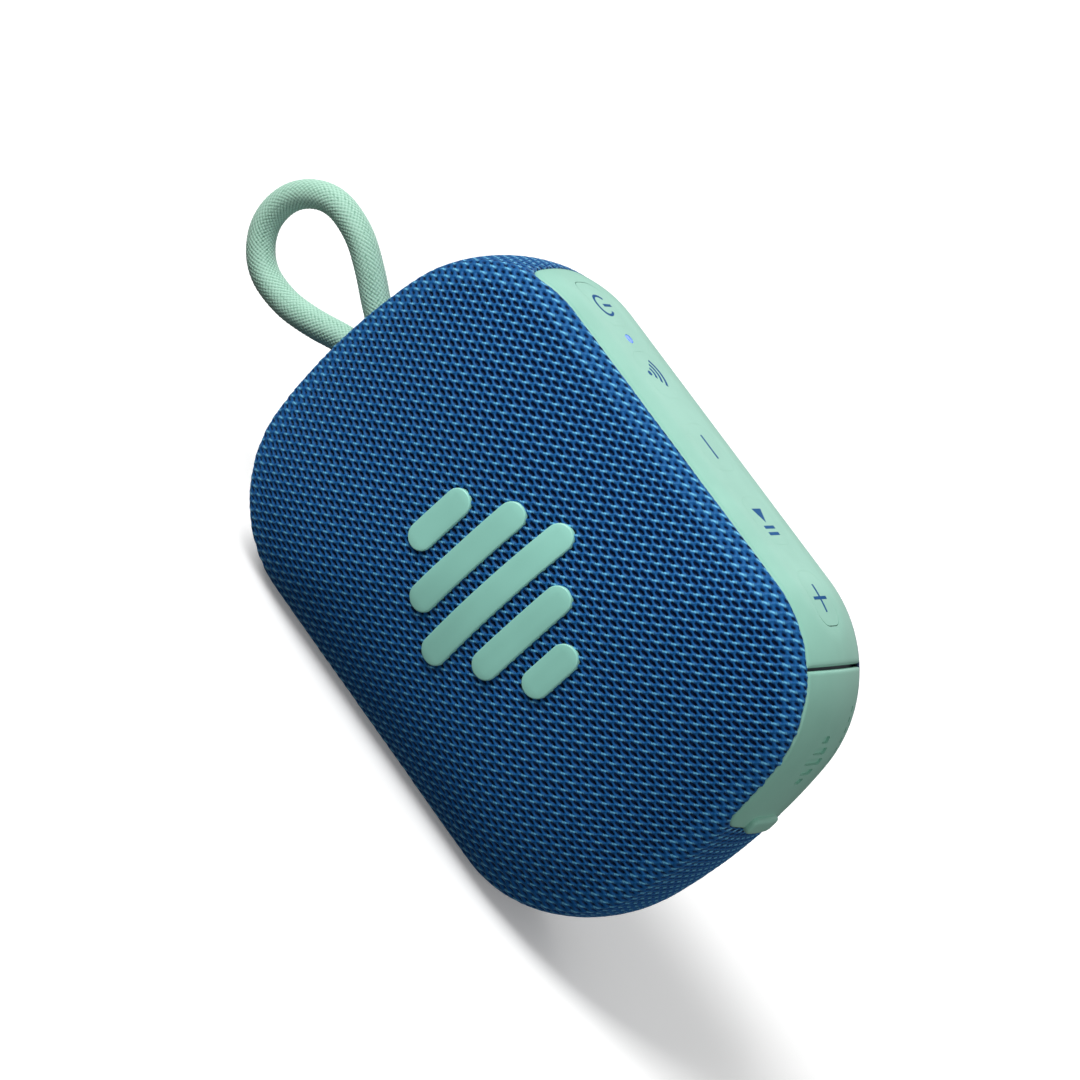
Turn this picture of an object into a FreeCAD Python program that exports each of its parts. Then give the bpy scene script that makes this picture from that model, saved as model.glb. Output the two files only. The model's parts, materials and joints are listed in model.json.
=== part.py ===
import FreeCAD, Part
import math
import os

# Pocket loudspeaker: a pillow-shaped body with a knitted cover, a rubber control strip
# across the top, a rubber port cover on the right shoulder and a rope loop on the left.
# Millimetres. x runs to the port cover side, y to the rear, z up to the control strip.
# Everything is drawn about the middle of the body and lifted to stand on z = 0 when saved.

# body outline, seen from the front, at the edges of the flat side band
body_width = 102.0
body_height = 69.8
body_depth = 44.0
corner_radius = 22.6
side_crown = 1.0            # how far the left and right sides bow out
band_half = 10.5            # half width of the side band
band_crown = 1.2            # how far the band bows out at its middle
dome_round = 0.74           # share of the dome that is a plain paraboloid
dome_power = 6.0            # the rest falls off this steeply at the rim
dome_steps = [1.0, 0.975, 0.94, 0.89, 0.82, 0.72, 0.6, 0.45, 0.28, 0.1]
loft_degree = 3
crease_slope = 0.45         # how much the band narrows per millimetre of inset

# layers, as insets from the outer surface
skin_in = 1.1
fabric_out = 0.1
shell_out = 1.2
shell_in = 3.0
fit_gap = 0.15
seam_y = 10.5
seal_thickness = 0.3

# control strip and its keys
strip_left_angle = 27.0     # degrees down the left shoulder
strip_right_angle = 36.0    # degrees down the right shoulder
strip_corner = 3.0
key_names = ["power", "pairing", "volume_down", "play", "volume_up"]
key_pitch = 14.9
key_middle_x = 0.9
key_length = 9.6
key_width = 7.6
key_stem_radius = 1.6
light_x = key_middle_x - 1.5 * key_pitch
light_radius = 0.9

# boards under the strip and beside the driver
key_board_top = 27.6
key_board_thickness = 1.0
switch_height = 1.5
plunger_radius = 1.0
board_front = 1.7
board_thickness = 1.2
board_left = 26.5
board_right = 42.3
board_bottom = -20.0
board_top = 17.5

# port cover, bay and socket
cover_top_angle = 37.6
cover_bottom_z = 3.8
cover_corner = 3.0
tab_bottom_z = 3.3
tab_top_z = 6.8
tab_corner = 1.4
tab_half = 4.5
tab_rise = 0.9
bay_half = 4.6
bay_low = 6.0
bay_high = 19.0
bay_floor = 42.8
bay_wall = 1.0
rim_depth = 1.6
rim_wall = 0.7
socket_z = 12.5
socket_front = 43.5
socket_length = 7.3
socket_long = 8.94
socket_short = 3.26

# rope loop
rope_radius = 2.5
rope_route = [(-55.1, 4.3), (-60.2, 7.0), (-66.6, 9.5), (-74.2, 9.4), (-79.5, 4.1),
              (-79.5, -3.3), (-74.2, -8.6), (-66.8, -8.8), (-60.2, -6.6), (-55.1, -4.1)]
rope_share = 0.45           # share of the shorter run that an arc may use
stub_outer_x = -52.3
stub_inner_x = -45.0
stub_z = 2.75
bezel_half_y = 4.6
bezel_half_z = 8.4
bezel_hole_y = 2.9
bezel_hole_z = 6.9

# foot
foot_half_length = 28.0
foot_half_width = 6.0
foot_corner = 5.0
foot_bottom = -36.9
centre_height = -foot_bottom

# front emblem: plain rounded bars of a sound level display
bar_heights = [13.0, 25.0, 33.0, 21.0, 11.0]
bar_pitch = 7.6
bar_width = 4.8
emblem_x = 1.5
emblem_rise = 0.7

# driver, on the y axis
flange_y = -12.1
flange_radius = 24.0
flange_thickness = 1.2
gasket_thickness = 0.5
roll_radius = 1.9
roll_middle = 18.0
cone_radius = 15.9
coil_radius = 6.6
plate_y = 0.0
magnet_radius = 15.0

# passive radiator, a rounded slot shape on the rear
radiator_half = 10.0
radiator_frame_radius = 18.5
radiator_face_y = 12.2
radiator_plate_radius = 11.4

# battery
cell_low = (-39.5, -9.5, -21.0)
cell_high = (-28.5, 9.5, 21.0)

screw_seat_y = 12.6         # depth at which the heads of the shell screws sit
screw_head = 1.4
boss_places = [(-24.6, 20.5), (24.6, 20.5), (-24.6, -26.3), (24.6, -26.3)]
board_posts = [(29.5, -16.0), (39.3, -13.0), (29.5, 4.0)]


def vec(x, y, z):
    return FreeCAD.Vector(x, y, z)


def box(low, high):
    return Part.makeBox(high[0] - low[0], high[1] - low[1], high[2] - low[2], vec(*low))


def rod(radius, start, end):
    """Cylinder between two points."""
    first = vec(*start)
    along = vec(*end).sub(first)
    return Part.makeCylinder(radius, along.Length, first, along)


def pipe(outer, inner, start, end):
    return rod(outer, start, end).cut(rod(inner, start, end))


def rounded_box(low, high, radius, axis):
    """Box whose four edges along one axis (0, 1 or 2) are rounded."""
    block = box(low, high)
    edges = []
    for edge in block.Edges:
        ends = edge.Vertexes[1].Point.sub(edge.Vertexes[0].Point)
        if abs(abs(ends[axis]) - edge.Length) < 1e-6:
            edges.append(edge)
    return block.makeFillet(radius, edges)


def outline(grow, scale, y):
    """Closed wire of the body outline at one depth: straight top and bottom, bowed sides."""
    centre_x = body_width / 2 - corner_radius - side_crown
    centre_z = body_height / 2 - corner_radius
    reach = body_width / 2 - centre_x
    side_radius = (centre_z ** 2 + reach ** 2 - corner_radius ** 2) / (2 * (reach - corner_radius))
    side_centre = body_width / 2 - side_radius
    side_angle = math.atan2(centre_z, centre_x - side_centre)
    corner = corner_radius + grow
    side = side_radius + grow

    def point(cx, cz, radius, angle, mirror_x=1, mirror_z=1):
        x = (cx + radius * math.cos(angle)) * mirror_x
        z = (cz + radius * math.sin(angle)) * mirror_z
        return vec(x * scale, y, z * scale)

    half = math.pi / 2
    middle = (half + side_angle) / 2
    quarters = [(1, 1), (1, -1), (-1, -1), (-1, 1)]
    edges = []
    for index, (sx, sz) in enumerate(quarters):
        top = point(centre_x, centre_z, corner, half, sx, sz)
        bend = point(centre_x, centre_z, corner, middle, sx, sz)
        low = point(centre_x, centre_z, corner, side_angle, sx, sz)
        if index % 2 == 0:
            other = point(centre_x, centre_z, corner, side_angle, sx, -sz)
            flank = point(side_centre, 0, side, 0, sx, sz)
            edges.append(Part.Arc(top, bend, low).toShape())
            edges.append(Part.Arc(low, flank, other).toShape())
        else:
            across = point(centre_x, centre_z, corner, half, -sx, sz)
            edges.append(Part.Arc(low, bend, top).toShape())
            edges.append(Part.LineSegment(top, across).toShape())
    return Part.Wire(edges)


def dome(inset, side):
    """Front (side -1) or rear (side 1) pillow of the body, inset from the outer surface."""
    edge = band_half - crease_slope * inset
    depth = body_depth / 2 - inset
    wires = []
    for scale in dome_steps:
        drop = dome_round * scale ** 2 + (1 - dome_round) * scale ** dome_power
        wires.append(outline(-inset, scale, side * (depth - (depth - edge) * drop)))
    return smooth_loft(wires)


def smooth_loft(wires):
    """Solid through a row of wires. A low degree keeps it from bulging between them."""
    return Part.makeLoft(wires, True, False, False, loft_degree)


def body(inset):
    """The whole body, inset from its outer surface (a negative inset grows it)."""
    edge = band_half - crease_slope * inset
    wires = []
    for step in (-1.0, -0.5, 0.0, 0.5, 1.0):
        crown = band_crown * (1 - step ** 2)
        wires.append(outline(crown - inset, 1.0, step * edge))
    band = smooth_loft(wires)
    return band.fuse([dome(inset, -1), dome(inset, 1)])


def layer(outer, inner):
    return bodies(outer).cut(bodies(inner))


body_cache = {}


def bodies(inset):
    if inset not in body_cache:
        body_cache[inset] = body(inset)
    return body_cache[inset]


def prism_y(points, half):
    """Polygon in the x-z plane, carried along y to both sides."""
    corners = [vec(x, -half, z) for x, z in points]
    face = Part.Face(Part.makePolygon(corners + corners[:1]))
    return face.extrude(vec(0, 2 * half, 0))


def round_end(block, inside, radius):
    """Round the edges of a prism whose middles satisfy a test."""
    edges = [edge for edge in block.Edges if inside(edge.CenterOfMass)]
    return block.makeFillet(radius, edges)


shoulder_x = body_width / 2 - corner_radius - side_crown
shoulder_z = body_height / 2 - corner_radius


def shoulder_point(angle, radius, side):
    turn = math.radians(angle)
    return (side * (shoulder_x + radius * math.sin(turn)), shoulder_z + radius * math.cos(turn))


def strip_prism(grow):
    """Room that the control strip takes, from shoulder to shoulder."""
    reach = 40.0
    turn = math.degrees(grow / corner_radius)
    left_in = shoulder_point(strip_left_angle + turn, 10.0, -1)
    left_out = shoulder_point(strip_left_angle + turn, reach, -1)
    right_out = shoulder_point(strip_right_angle + turn, reach, 1)
    right_in = shoulder_point(strip_right_angle + turn, 10.0, 1)
    half = band_half - fit_gap + grow
    block = prism_y([left_in, left_out, right_out, right_in], half)
    middle_x = (left_in[0] + left_out[0]) / 2
    return round_end(block, lambda p: abs(p.x - middle_x) < 0.1 and abs(p.y) > half - 0.1,
                     strip_corner + grow)


def cover_prism(grow):
    """Room that the port cover takes, from the seam down the right side."""
    turn = math.degrees(grow / corner_radius)
    top_in = shoulder_point(cover_top_angle - turn, 10.0, 1)
    top_out = shoulder_point(cover_top_angle - turn, 50.0, 1)
    bottom = cover_bottom_z - grow
    half = band_half - fit_gap + grow
    points = [top_in, top_out, (top_out[0], bottom), (top_in[0], bottom)]
    block = prism_y(points, half)
    return round_end(block, lambda p: abs(p.z - bottom) < 0.1 and abs(p.y) > half - 0.1,
                     cover_corner + grow)


def tab_prism(grow):
    """Thumb tab under the port cover."""
    low = (45.0, -tab_half - grow, tab_bottom_z - grow)
    high = (60.0, tab_half + grow, tab_top_z + grow)
    return rounded_box(low, high, tab_corner + grow, 0)


def key_x(index):
    return key_middle_x + (index - 2) * key_pitch


def key_prism(index, grow):
    low = (key_x(index) - key_length / 2 - grow, -key_width / 2 - grow, 20.0)
    high = (key_x(index) + key_length / 2 + grow, key_width / 2 + grow, 45.0)
    return rounded_box(low, high, 2.6 + grow, 2)


def slot_prism(half_long, radius, y_low, y_high):
    """Rounded slot shape in the x-z plane, long way along x, between two depths."""
    middle = box((-half_long, y_low, -radius), (half_long, y_high, radius))
    left = rod(radius, (-half_long, y_low, 0), (-half_long, y_high, 0))
    right = rod(radius, (half_long, y_low, 0), (half_long, y_high, 0))
    return middle.fuse([left, right])


def slot_ring(half_long, outer, inner, y_low, y_high):
    return slot_prism(half_long, outer, y_low, y_high).cut(slot_prism(half_long, inner, y_low, y_high))


def bezel_prism(grow, x_low, x_high):
    low = (x_low, -bezel_half_y - grow, -bezel_half_z - grow)
    high = (x_high, bezel_half_y + grow, bezel_half_z + grow)
    return rounded_box(low, high, bezel_half_y - 0.1 + grow, 0)


def foot_prism(grow, top):
    low = (-foot_half_length - grow, -foot_half_width - grow, foot_bottom)
    high = (foot_half_length + grow, foot_half_width + grow, top)
    return rounded_box(low, high, foot_corner + grow, 2)


def spin_y(points):
    """Closed profile of (radius, y) corners turned about the y axis."""
    corners = [vec(radius, y, 0) for radius, y in points]
    face = Part.Face(Part.makePolygon(corners + corners[:1]))
    return face.revolve(vec(0, 0, 0), vec(0, 1, 0), 360)


def route_tube(points, radius, name):
    """Tube along straight runs joined by tangent arcs, with its arc radii printed."""
    places = [vec(*p) for p in points]
    edges = []
    start = places[0]
    radii = []
    for before, corner, after in zip(places, places[1:], places[2:]):
        back = before.sub(corner)
        ahead = after.sub(corner)
        shorter = min(back.Length, ahead.Length)
        back.normalize()
        ahead.normalize()
        turn = math.pi - back.getAngle(ahead)
        setback = rope_share * shorter
        bend = setback / math.tan(turn / 2)
        radii.append(round(bend, 1))
        enter = corner.add(back.multiply(setback))
        leave = corner.add(ahead.multiply(setback))
        inward = back.add(ahead)
        inward.normalize()
        to_centre = inward.multiply(math.sqrt(bend ** 2 + setback ** 2))
        centre = corner.add(to_centre)
        outward = to_centre.multiply(-1)
        outward.normalize()
        middle = centre.add(outward.multiply(bend))
        edges.append(Part.LineSegment(start, enter).toShape())
        edges.append(Part.Arc(enter, middle, leave).toShape())
        start = leave
    edges.append(Part.LineSegment(start, places[-1]).toShape())
    path = Part.Wire(edges)
    heading = places[1].sub(places[0])
    ring = Part.Wire(Part.makeCircle(radius, places[0], heading))
    tube = path.makePipeShell([ring], True, False)
    expected = math.pi * radius ** 2 * path.Length
    print(name, "radii", radii, "length", round(path.Length, 1),
          "volume ratio", round(tube.Volume / expected, 4))
    return tube


saved = {}


def save(name, *pieces):
    """Lift the pieces of one node onto the table and write them."""
    solids = []
    for piece in pieces:
        solids.extend(piece.Solids)
    shape = solids[0] if len(solids) == 1 else Part.makeCompound(solids)
    shape = shape.copy()
    shape.translate(vec(0, 0, centre_height))
    shape.exportStep("parts/" + name + ".step")
    saved[name] = shape
    print(name, len(solids), "solid(s)", round(shape.Volume, 1), "mm3", "valid", shape.isValid())


def emblem_bars():
    """Pairs of (bar prism, stud places) for the front emblem."""
    bars = []
    for index, height in enumerate(bar_heights):
        x = emblem_x + (index - 2) * bar_pitch
        low = (x - bar_width / 2, -30.0, -height / 2)
        high = (x + bar_width / 2, -10.0, height / 2)
        bars.append((rounded_box(low, high, bar_width / 2 - 0.05, 1), (x, height / 2 - 3.5)))
    return bars


def emblem_studs(radius):
    studs = []
    for block, (x, z) in emblem_bars():
        for side in (-1, 1):
            studs.append(rod(radius, (x, -21.5, side * z), (x, -17.8, side * z)))
    return studs


def make_front_shell():
    """Deep tub that carries the driver, the boards, the keys and the band all round."""
    shell = layer(shell_out, shell_in)
    cut_y = seam_y - seal_thickness / 2
    shell = shell.common(box((-80, -40, -60), (80, cut_y, 60)))
    inside = bodies(shell_in - 0.1)
    ring = pipe(flange_radius + 0.6, 20.2, (0, -21, 0), (0, flange_y - gasket_thickness, 0))
    extras = [ring]
    for x, z in boss_places:
        extras.append(rod(2.4, (x, -20, z), (x, 9.3, z)))
    for x, z in board_posts:
        extras.append(rod(2.0, (x, -20, z), (x, board_front, z)))
    for x in (key_x(1) + key_pitch / 2, key_x(3) - key_pitch / 2):
        extras.append(rod(1.8, (x, 0, key_board_top), (x, 0, 34)))
    for piece in extras:
        shell = shell.fuse(piece.common(inside))
    cuts = []
    for x, z in boss_places:
        cuts.append(rod(0.8, (x, 0.0, z), (x, 9.4, z)))
    for x, z in board_posts:
        cuts.append(rod(0.8, (x, -4.0, z), (x, board_front + 0.1, z)))
    for x in (key_x(1) + key_pitch / 2, key_x(3) - key_pitch / 2):
        cuts.append(rod(0.6, (x, 0, key_board_top - 0.1), (x, 0, 31)))
    for turn in (45, 135, 225, 315):
        x = 22.2 * math.cos(math.radians(turn))
        z = 22.2 * math.sin(math.radians(turn))
        cuts.append(rod(0.8, (x, -15.2, z), (x, flange_y, z)))
    for index in range(len(key_names)):
        recess = key_prism(index, 0.4).common(layer(shell_out - 0.1, shell_out + 0.7))
        cuts.append(recess)
        cuts.append(rod(key_stem_radius + 0.3, (key_x(index), 0, 28), (key_x(index), 0, 40)))
    cuts.append(rod(light_radius + 0.1, (light_x, 0, 28), (light_x, 0, 40)))
    cuts.append(box((bay_floor - 1.3, -bay_half - bay_wall - 0.05, bay_low - bay_wall - 0.05),
                    (60, bay_half + bay_wall + 0.05, bay_high + bay_wall + 0.05)))
    cuts.append(bezel_prism(0.1, -60, -40))
    cuts.extend(emblem_studs(0.85))
    hole_pitch = 4.4
    for row in range(-4, 5):
        for column in range(-4, 5):
            x = (column + 0.5 * (row % 2)) * hole_pitch
            z = row * hole_pitch * math.sqrt(3) / 2
            near_stud = min(math.hypot(x - sx, abs(z) - sz) for block, (sx, sz) in emblem_bars())
            if math.hypot(x, z) < 18.5 and near_stud > 2.6:
                cuts.append(rod(1.3, (x, -30, z), (x, -14, z)))
    return shell.cut(cuts)


def make_rear_shell():
    """Rear cover with slots in front of the passive radiator."""
    shell = layer(shell_out, shell_in)
    cut_y = seam_y + seal_thickness / 2
    shell = shell.common(box((-80, cut_y, -60), (80, 40, 60)))
    inside = bodies(shell_in - 0.1)
    ring = slot_ring(radiator_half, radiator_frame_radius, 16.2, radiator_face_y, 24)
    shell = shell.fuse(ring.common(inside))
    cuts = []
    for x, z in boss_places:
        shell = shell.fuse(pipe(2.4, 1.1, (x, 9.5, z), (x, 24, z)).common(inside))
        cuts.append(rod(1.1, (x, 9.0, z), (x, 24, z)))
        cuts.append(rod(2.1, (x, screw_seat_y, z), (x, 24, z)))
    for row in range(-3, 4):
        reach = math.sqrt(15.0 ** 2 - (row * 3.8) ** 2) + radiator_half - 1.5
        cuts.append(rounded_box((-reach, 12.5, row * 3.8 - 1.0), (reach, 30, row * 3.8 + 1.0), 0.9, 1))
    return shell.cut(cuts)


def make_seal():
    cut = box((-80, seam_y - seal_thickness / 2, -60), (80, seam_y + seal_thickness / 2, 60))
    return layer(shell_out + 0.1, shell_in - 0.1).common(cut)


def make_fabrics():
    """Knitted cover: the front one also wraps the band, the rear one closes the back."""
    cloth = layer(fabric_out, skin_in)
    front = cloth.common(box((-80, -40, -60), (80, seam_y - 0.05, 60)))
    cuts = [strip_prism(0.15), cover_prism(0.15), tab_prism(0.15), bezel_prism(0.15, -60, -40)]
    cuts.append(foot_prism(0.15, -20))
    cuts.extend(emblem_studs(0.9))
    front = front.cut(cuts)
    rear = cloth.common(box((-80, seam_y + 0.05, -60), (80, 40, 60)))
    return front, rear


def make_strip():
    strip = layer(0.0, skin_in).common(strip_prism(0.0))
    cuts = [key_prism(index, fit_gap) for index in range(len(key_names))]
    cuts.append(rod(light_radius + 0.05, (light_x, 0, 20), (light_x, 0, 45)))
    return strip.cut(cuts)


def make_key(index):
    cap = layer(0.0, skin_in).common(key_prism(index, 0.0))
    x = key_x(index)
    bottom = key_board_top + switch_height + 0.5
    stem = rod(key_stem_radius, (x, 0, bottom), (x, 0, 35.3)).common(bodies(0.4))
    return cap.fuse(stem)


def make_plunger(index):
    x = key_x(index)
    low = key_board_top + switch_height - 0.5
    return rod(plunger_radius, (x, 0, low), (x, 0, low + 1.0))


def make_switches():
    switches = []
    for index in range(len(key_names)):
        x = key_x(index)
        body_block = box((x - 2.2, -2.2, key_board_top), (x + 2.2, 2.2, key_board_top + switch_height))
        hole = rod(plunger_radius + 0.1, (x, 0, key_board_top + 0.4), (x, 0, key_board_top + 3))
        switches.append(body_block.cut(hole))
    return switches


def make_port_cover():
    """Rubber flap with a sealing rim inside and a raised thumb tab at its lower end."""
    flap = layer(0.0, skin_in).common(cover_prism(0.0))
    tab = layer(-tab_rise, skin_in).common(tab_prism(0.0))
    outer = rounded_box((40, -bay_half + 0.3, bay_low + 0.3), (60, bay_half - 0.3, bay_high - 0.9), 1.0, 0)
    inner = rounded_box((40, -bay_half + 0.3 + rim_wall, bay_low + 0.3 + rim_wall),
                        (60, bay_half - 0.3 - rim_wall, bay_high - 0.9 - rim_wall), 0.6, 0)
    rim = outer.cut(inner).common(layer(skin_in - 0.3, skin_in + rim_depth))
    return flap.fuse([tab, rim])


def make_port_bay():
    """Open tray behind the cover, with a slot in its floor for the socket."""
    low = (bay_floor - bay_wall, -bay_half - bay_wall, bay_low - bay_wall)
    tray = box(low, (60, bay_half + bay_wall, bay_high + bay_wall))
    hollow = box((bay_floor, -bay_half, bay_low), (61, bay_half, bay_high))
    slot = rounded_box((bay_floor - 3, -socket_short / 2 - 0.1, socket_z - socket_long / 2 - 0.1),
                       (60, socket_short / 2 + 0.1, socket_z + socket_long / 2 + 0.1), 1.4, 0)
    return tray.common(bodies(shell_out)).cut([hollow, slot])


def make_socket():
    """Metal shell of a small oval charging socket, closed behind, with its tongue."""
    back = socket_front - socket_length
    outer = rounded_box((back, -socket_short / 2, socket_z - socket_long / 2),
                        (socket_front, socket_short / 2, socket_z + socket_long / 2), 1.5, 0)
    inner = rounded_box((back + 1.5, -socket_short / 2 + 0.35, socket_z - socket_long / 2 + 0.35),
                        (socket_front + 1, socket_short / 2 - 0.35, socket_z + socket_long / 2 - 0.35),
                        1.1, 0)
    tongue = box((back + 1.0, -0.35, socket_z - 3.2), (socket_front - 1.2, 0.35, socket_z + 3.2))
    return outer.cut(inner).fuse(tongue)


def make_rope():
    """Moving part of the rope loop: a tube with ball ends on the swing axis."""
    points = [(x, 0.0, z) for x, z in rope_route]
    tube = route_tube(points, rope_radius, "lanyard_rope")
    balls = [Part.makeSphere(rope_radius, vec(*points[0])), Part.makeSphere(rope_radius, vec(*points[-1]))]
    return tube.fuse(balls)


def make_rope_root():
    return [rod(rope_radius, (stub_outer_x, 0, side * stub_z), (stub_inner_x, 0, side * stub_z))
            for side in (-1, 1)]


def make_lanyard_parts():
    """Bezel in the left wall, block that grips the rope ends, and the pin through both."""
    bezel = bezel_prism(0.0, -52.5, -46.2)
    hole = rounded_box((-60, -bezel_hole_y, -bezel_hole_z), (-40, bezel_hole_y, bezel_hole_z), 2.6, 0)
    roots = make_rope_root()
    pin = rod(0.8, (-44.2, 0, -7.6), (-44.2, 0, 7.6))
    block = box((-46.1, -4.6, -7.6), (-42.0, 4.6, 7.6))
    bores = [rod(rope_radius, (-47, 0, side * stub_z), (-42.9, 0, side * stub_z)) for side in (-1, 1)]
    roots = [root.fuse(rod(rope_radius, (stub_inner_x, 0, side * stub_z), (-43.0, 0, side * stub_z)))
             for root, side in zip(roots, (-1, 1))]
    roots = [root.removeSplitter().cut(pin) for root in roots]
    return bezel.cut(hole), block.cut(bores + [pin]), pin, roots


def make_foot():
    return foot_prism(0.0, -30).cut(bodies(skin_in + 0.05))


def make_badge():
    """Five raised bars, each held by two studs through the cloth and the shell."""
    studs = emblem_studs(0.8)
    pieces = []
    for index, (block, place) in enumerate(emblem_bars()):
        bar = block.common(bodies(-emblem_rise)).cut(bodies(0.0))
        pieces.append(bar.fuse(studs[2 * index:2 * index + 2]))
    return pieces


def make_driver():
    back = flange_y + flange_thickness
    flange = pipe(flange_radius, 20.0, (0, flange_y, 0), (0, back, 0))
    frame = spin_y([(20.0, back - 0.6), (20.5, back), (20.5, back + 0.2), (13.0, plate_y - 1.0),
                    (15.0, plate_y - 1.0), (15.0, plate_y), (7.6, plate_y), (7.6, plate_y - 1.0),
                    (11.8, plate_y - 1.0), (20.0, back + 0.2)])
    basket = flange.fuse(frame)
    cuts = []
    for turn in (0, 90, 180, 270):
        window = box((12.6, -9.4, -5.5), (25, -2.4, 5.5))
        window.rotate(vec(0, 0, 0), vec(0, 1, 0), turn)
        cuts.append(window)
    screws = []
    gasket = pipe(flange_radius, 20.5, (0, flange_y - gasket_thickness, 0), (0, flange_y, 0))
    for turn in (45, 135, 225, 315):
        x = 22.2 * math.cos(math.radians(turn))
        z = 22.2 * math.sin(math.radians(turn))
        hole = rod(0.9, (x, flange_y - 2, z), (x, back + 1, z))
        cuts.append(hole)
        gasket = gasket.cut(hole)
        shank = rod(0.8, (x, -15.0, z), (x, back, z))
        head = rod(1.5, (x, back, z), (x, back + 1.0, z)).cut(box((x - 1.1, back + 0.6, z - 0.2),
                                                                 (x + 1.1, back + 2, z + 0.2)))
        screws.append(shank.fuse(head))
    terminal = box((17.3, -6.0, -1.6), (20.0, -4.0, 1.6))
    terminal.rotate(vec(0, 0, 0), vec(0, 1, 0), 40)
    basket = basket.cut(cuts)
    terminal = terminal.cut(basket)
    top_plate = pipe(magnet_radius, 7.1, (0, plate_y, 0), (0, plate_y + 1.6, 0))
    magnet = pipe(magnet_radius - 0.5, 9.0, (0, plate_y + 1.6, 0), (0, plate_y + 5.2, 0))
    yoke = rod(magnet_radius, (0, plate_y + 5.2, 0), (0, plate_y + 6.8, 0))
    yoke = yoke.fuse(rod(5.7, (0, plate_y, 0), (0, plate_y + 5.2, 0)))
    cone = spin_y([(cone_radius, flange_y - 0.2), (cone_radius, flange_y + 0.3), (coil_radius + 0.05, -6.0),
                   (coil_radius + 0.05, -6.6)])
    cap_ball = Part.makeSphere(8.2, vec(0, -2.6, 0)).cut(Part.makeSphere(7.8, vec(0, -2.6, 0)))
    cap = cap_ball.common(rod(coil_radius - 0.4, (0, -12, 0), (0, -6.5, 0)))
    coil = pipe(coil_radius, coil_radius - 0.35, (0, -8.0, 0), (0, plate_y + 3.2, 0))
    surround = half_roll(roll_middle, roll_radius)
    spider_y = -3.2
    spider = spin_y([(coil_radius + 0.05, spider_y), (8.4, spider_y), (9.1, spider_y - 0.7),
                     (9.8, spider_y), (10.6, spider_y - 0.7), (11.4, spider_y), (13.0, spider_y),
                     (13.0, spider_y + 0.3), (11.4, spider_y + 0.3), (10.6, spider_y - 0.3),
                     (9.8, spider_y + 0.4), (9.1, spider_y - 0.3), (8.4, spider_y + 0.3),
                     (coil_radius + 0.05, spider_y + 0.3)])
    return {"driver_basket": basket, "driver_gasket": gasket, "driver_screws": screws,
            "driver_top_plate": top_plate, "driver_magnet": magnet, "driver_yoke": yoke,
            "driver_cone": cone, "driver_dust_cap": cap, "driver_voice_coil": coil,
            "driver_surround": surround, "driver_spider": spider, "driver_terminal": terminal}


def half_roll(middle, radius):
    """Foam half roll with a flat lip each side, turned about the y axis."""
    wall = 0.4
    base = flange_y - wall
    ball = Part.makeTorus(middle, radius, vec(0, flange_y, 0), vec(0, 1, 0))
    ball = ball.cut(Part.makeTorus(middle, radius - wall, vec(0, flange_y, 0), vec(0, 1, 0)))
    front = box((-30, -30, -30), (30, flange_y, 30))
    outer_lip = pipe(20.4, middle + radius - wall, (0, base, 0), (0, flange_y, 0))
    return ball.common(front).fuse(outer_lip).removeSplitter()


def make_radiator():
    """Passive radiator: frame, rubber roll and weighted plate, all rounded slots."""
    face = radiator_face_y
    frame = slot_ring(radiator_half, radiator_frame_radius, 15.4, face - 1.5, face)
    plate = slot_prism(radiator_half, radiator_plate_radius, face - 0.2, face + 1.2)
    weight = slot_prism(radiator_half, radiator_plate_radius - 4.0, face - 1.0, face - 0.2)
    middle = 13.4
    radius = 1.8
    wall = 0.4
    roll = None
    for side in (-1, 1):
        turned = Part.makeTorus(middle, radius, vec(0, 0, 0), vec(0, 1, 0))
        turned = turned.cut(Part.makeTorus(middle, radius - wall, vec(0, 0, 0), vec(0, 1, 0)))
        half = turned.common(box((0, 0, -30), (30, 30, 30)))
        if side < 0:
            half.rotate(vec(0, 0, 0), vec(0, 1, 0), 180)
        half.translate(vec(side * radiator_half, face, 0))
        straight = pipe(radius, radius - wall, (-radiator_half, face, side * middle),
                        (radiator_half, face, side * middle))
        straight = straight.common(box((-30, face, -30), (30, 30, 30)))
        roll = half if roll is None else roll.fuse(half)
        roll = roll.fuse(straight)
    lip = slot_ring(radiator_half, 16.1, 15.0, face, face + wall)
    return frame, plate.fuse(weight), roll.fuse(lip)


def make_battery():
    cell = rounded_box(cell_low, cell_high, 2.5, 1)
    x0, y0, z0 = cell_low
    x1, y1, z1 = cell_high
    cradle = box((x0 + 0.5, y0 - 1.3, z0 + 3), (x1 + 1.3, y1 + 1.0, z1 - 3))
    cradle = cradle.cut(box((x0 - 1, y0 - 0.2, z0), (x1 + 0.2, y1 + 0.2, z1)))
    cradle = cradle.cut(box((x0 - 1, y0 + 4, z0 + 8), (x1 + 5, y1 - 4, z1 - 8)))
    for z in (-12.0, 12.0):
        cradle = cradle.fuse(rod(2.5, (-34.0, -20, z), (-34.0, y0 - 0.2, z)))
    cradle = cradle.common(bodies(shell_in + 0.05))
    pads = [box((x0 + 3, y0 + 3, z1 + 0.05), (x1 - 2, y1 - 8, z1 + 1.4)),
            box((x0 + 3, y0 + 3, z0 - 1.4), (x1 - 2, y1 - 3, z0 - 0.05))]
    return cell, cradle, pads


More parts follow.
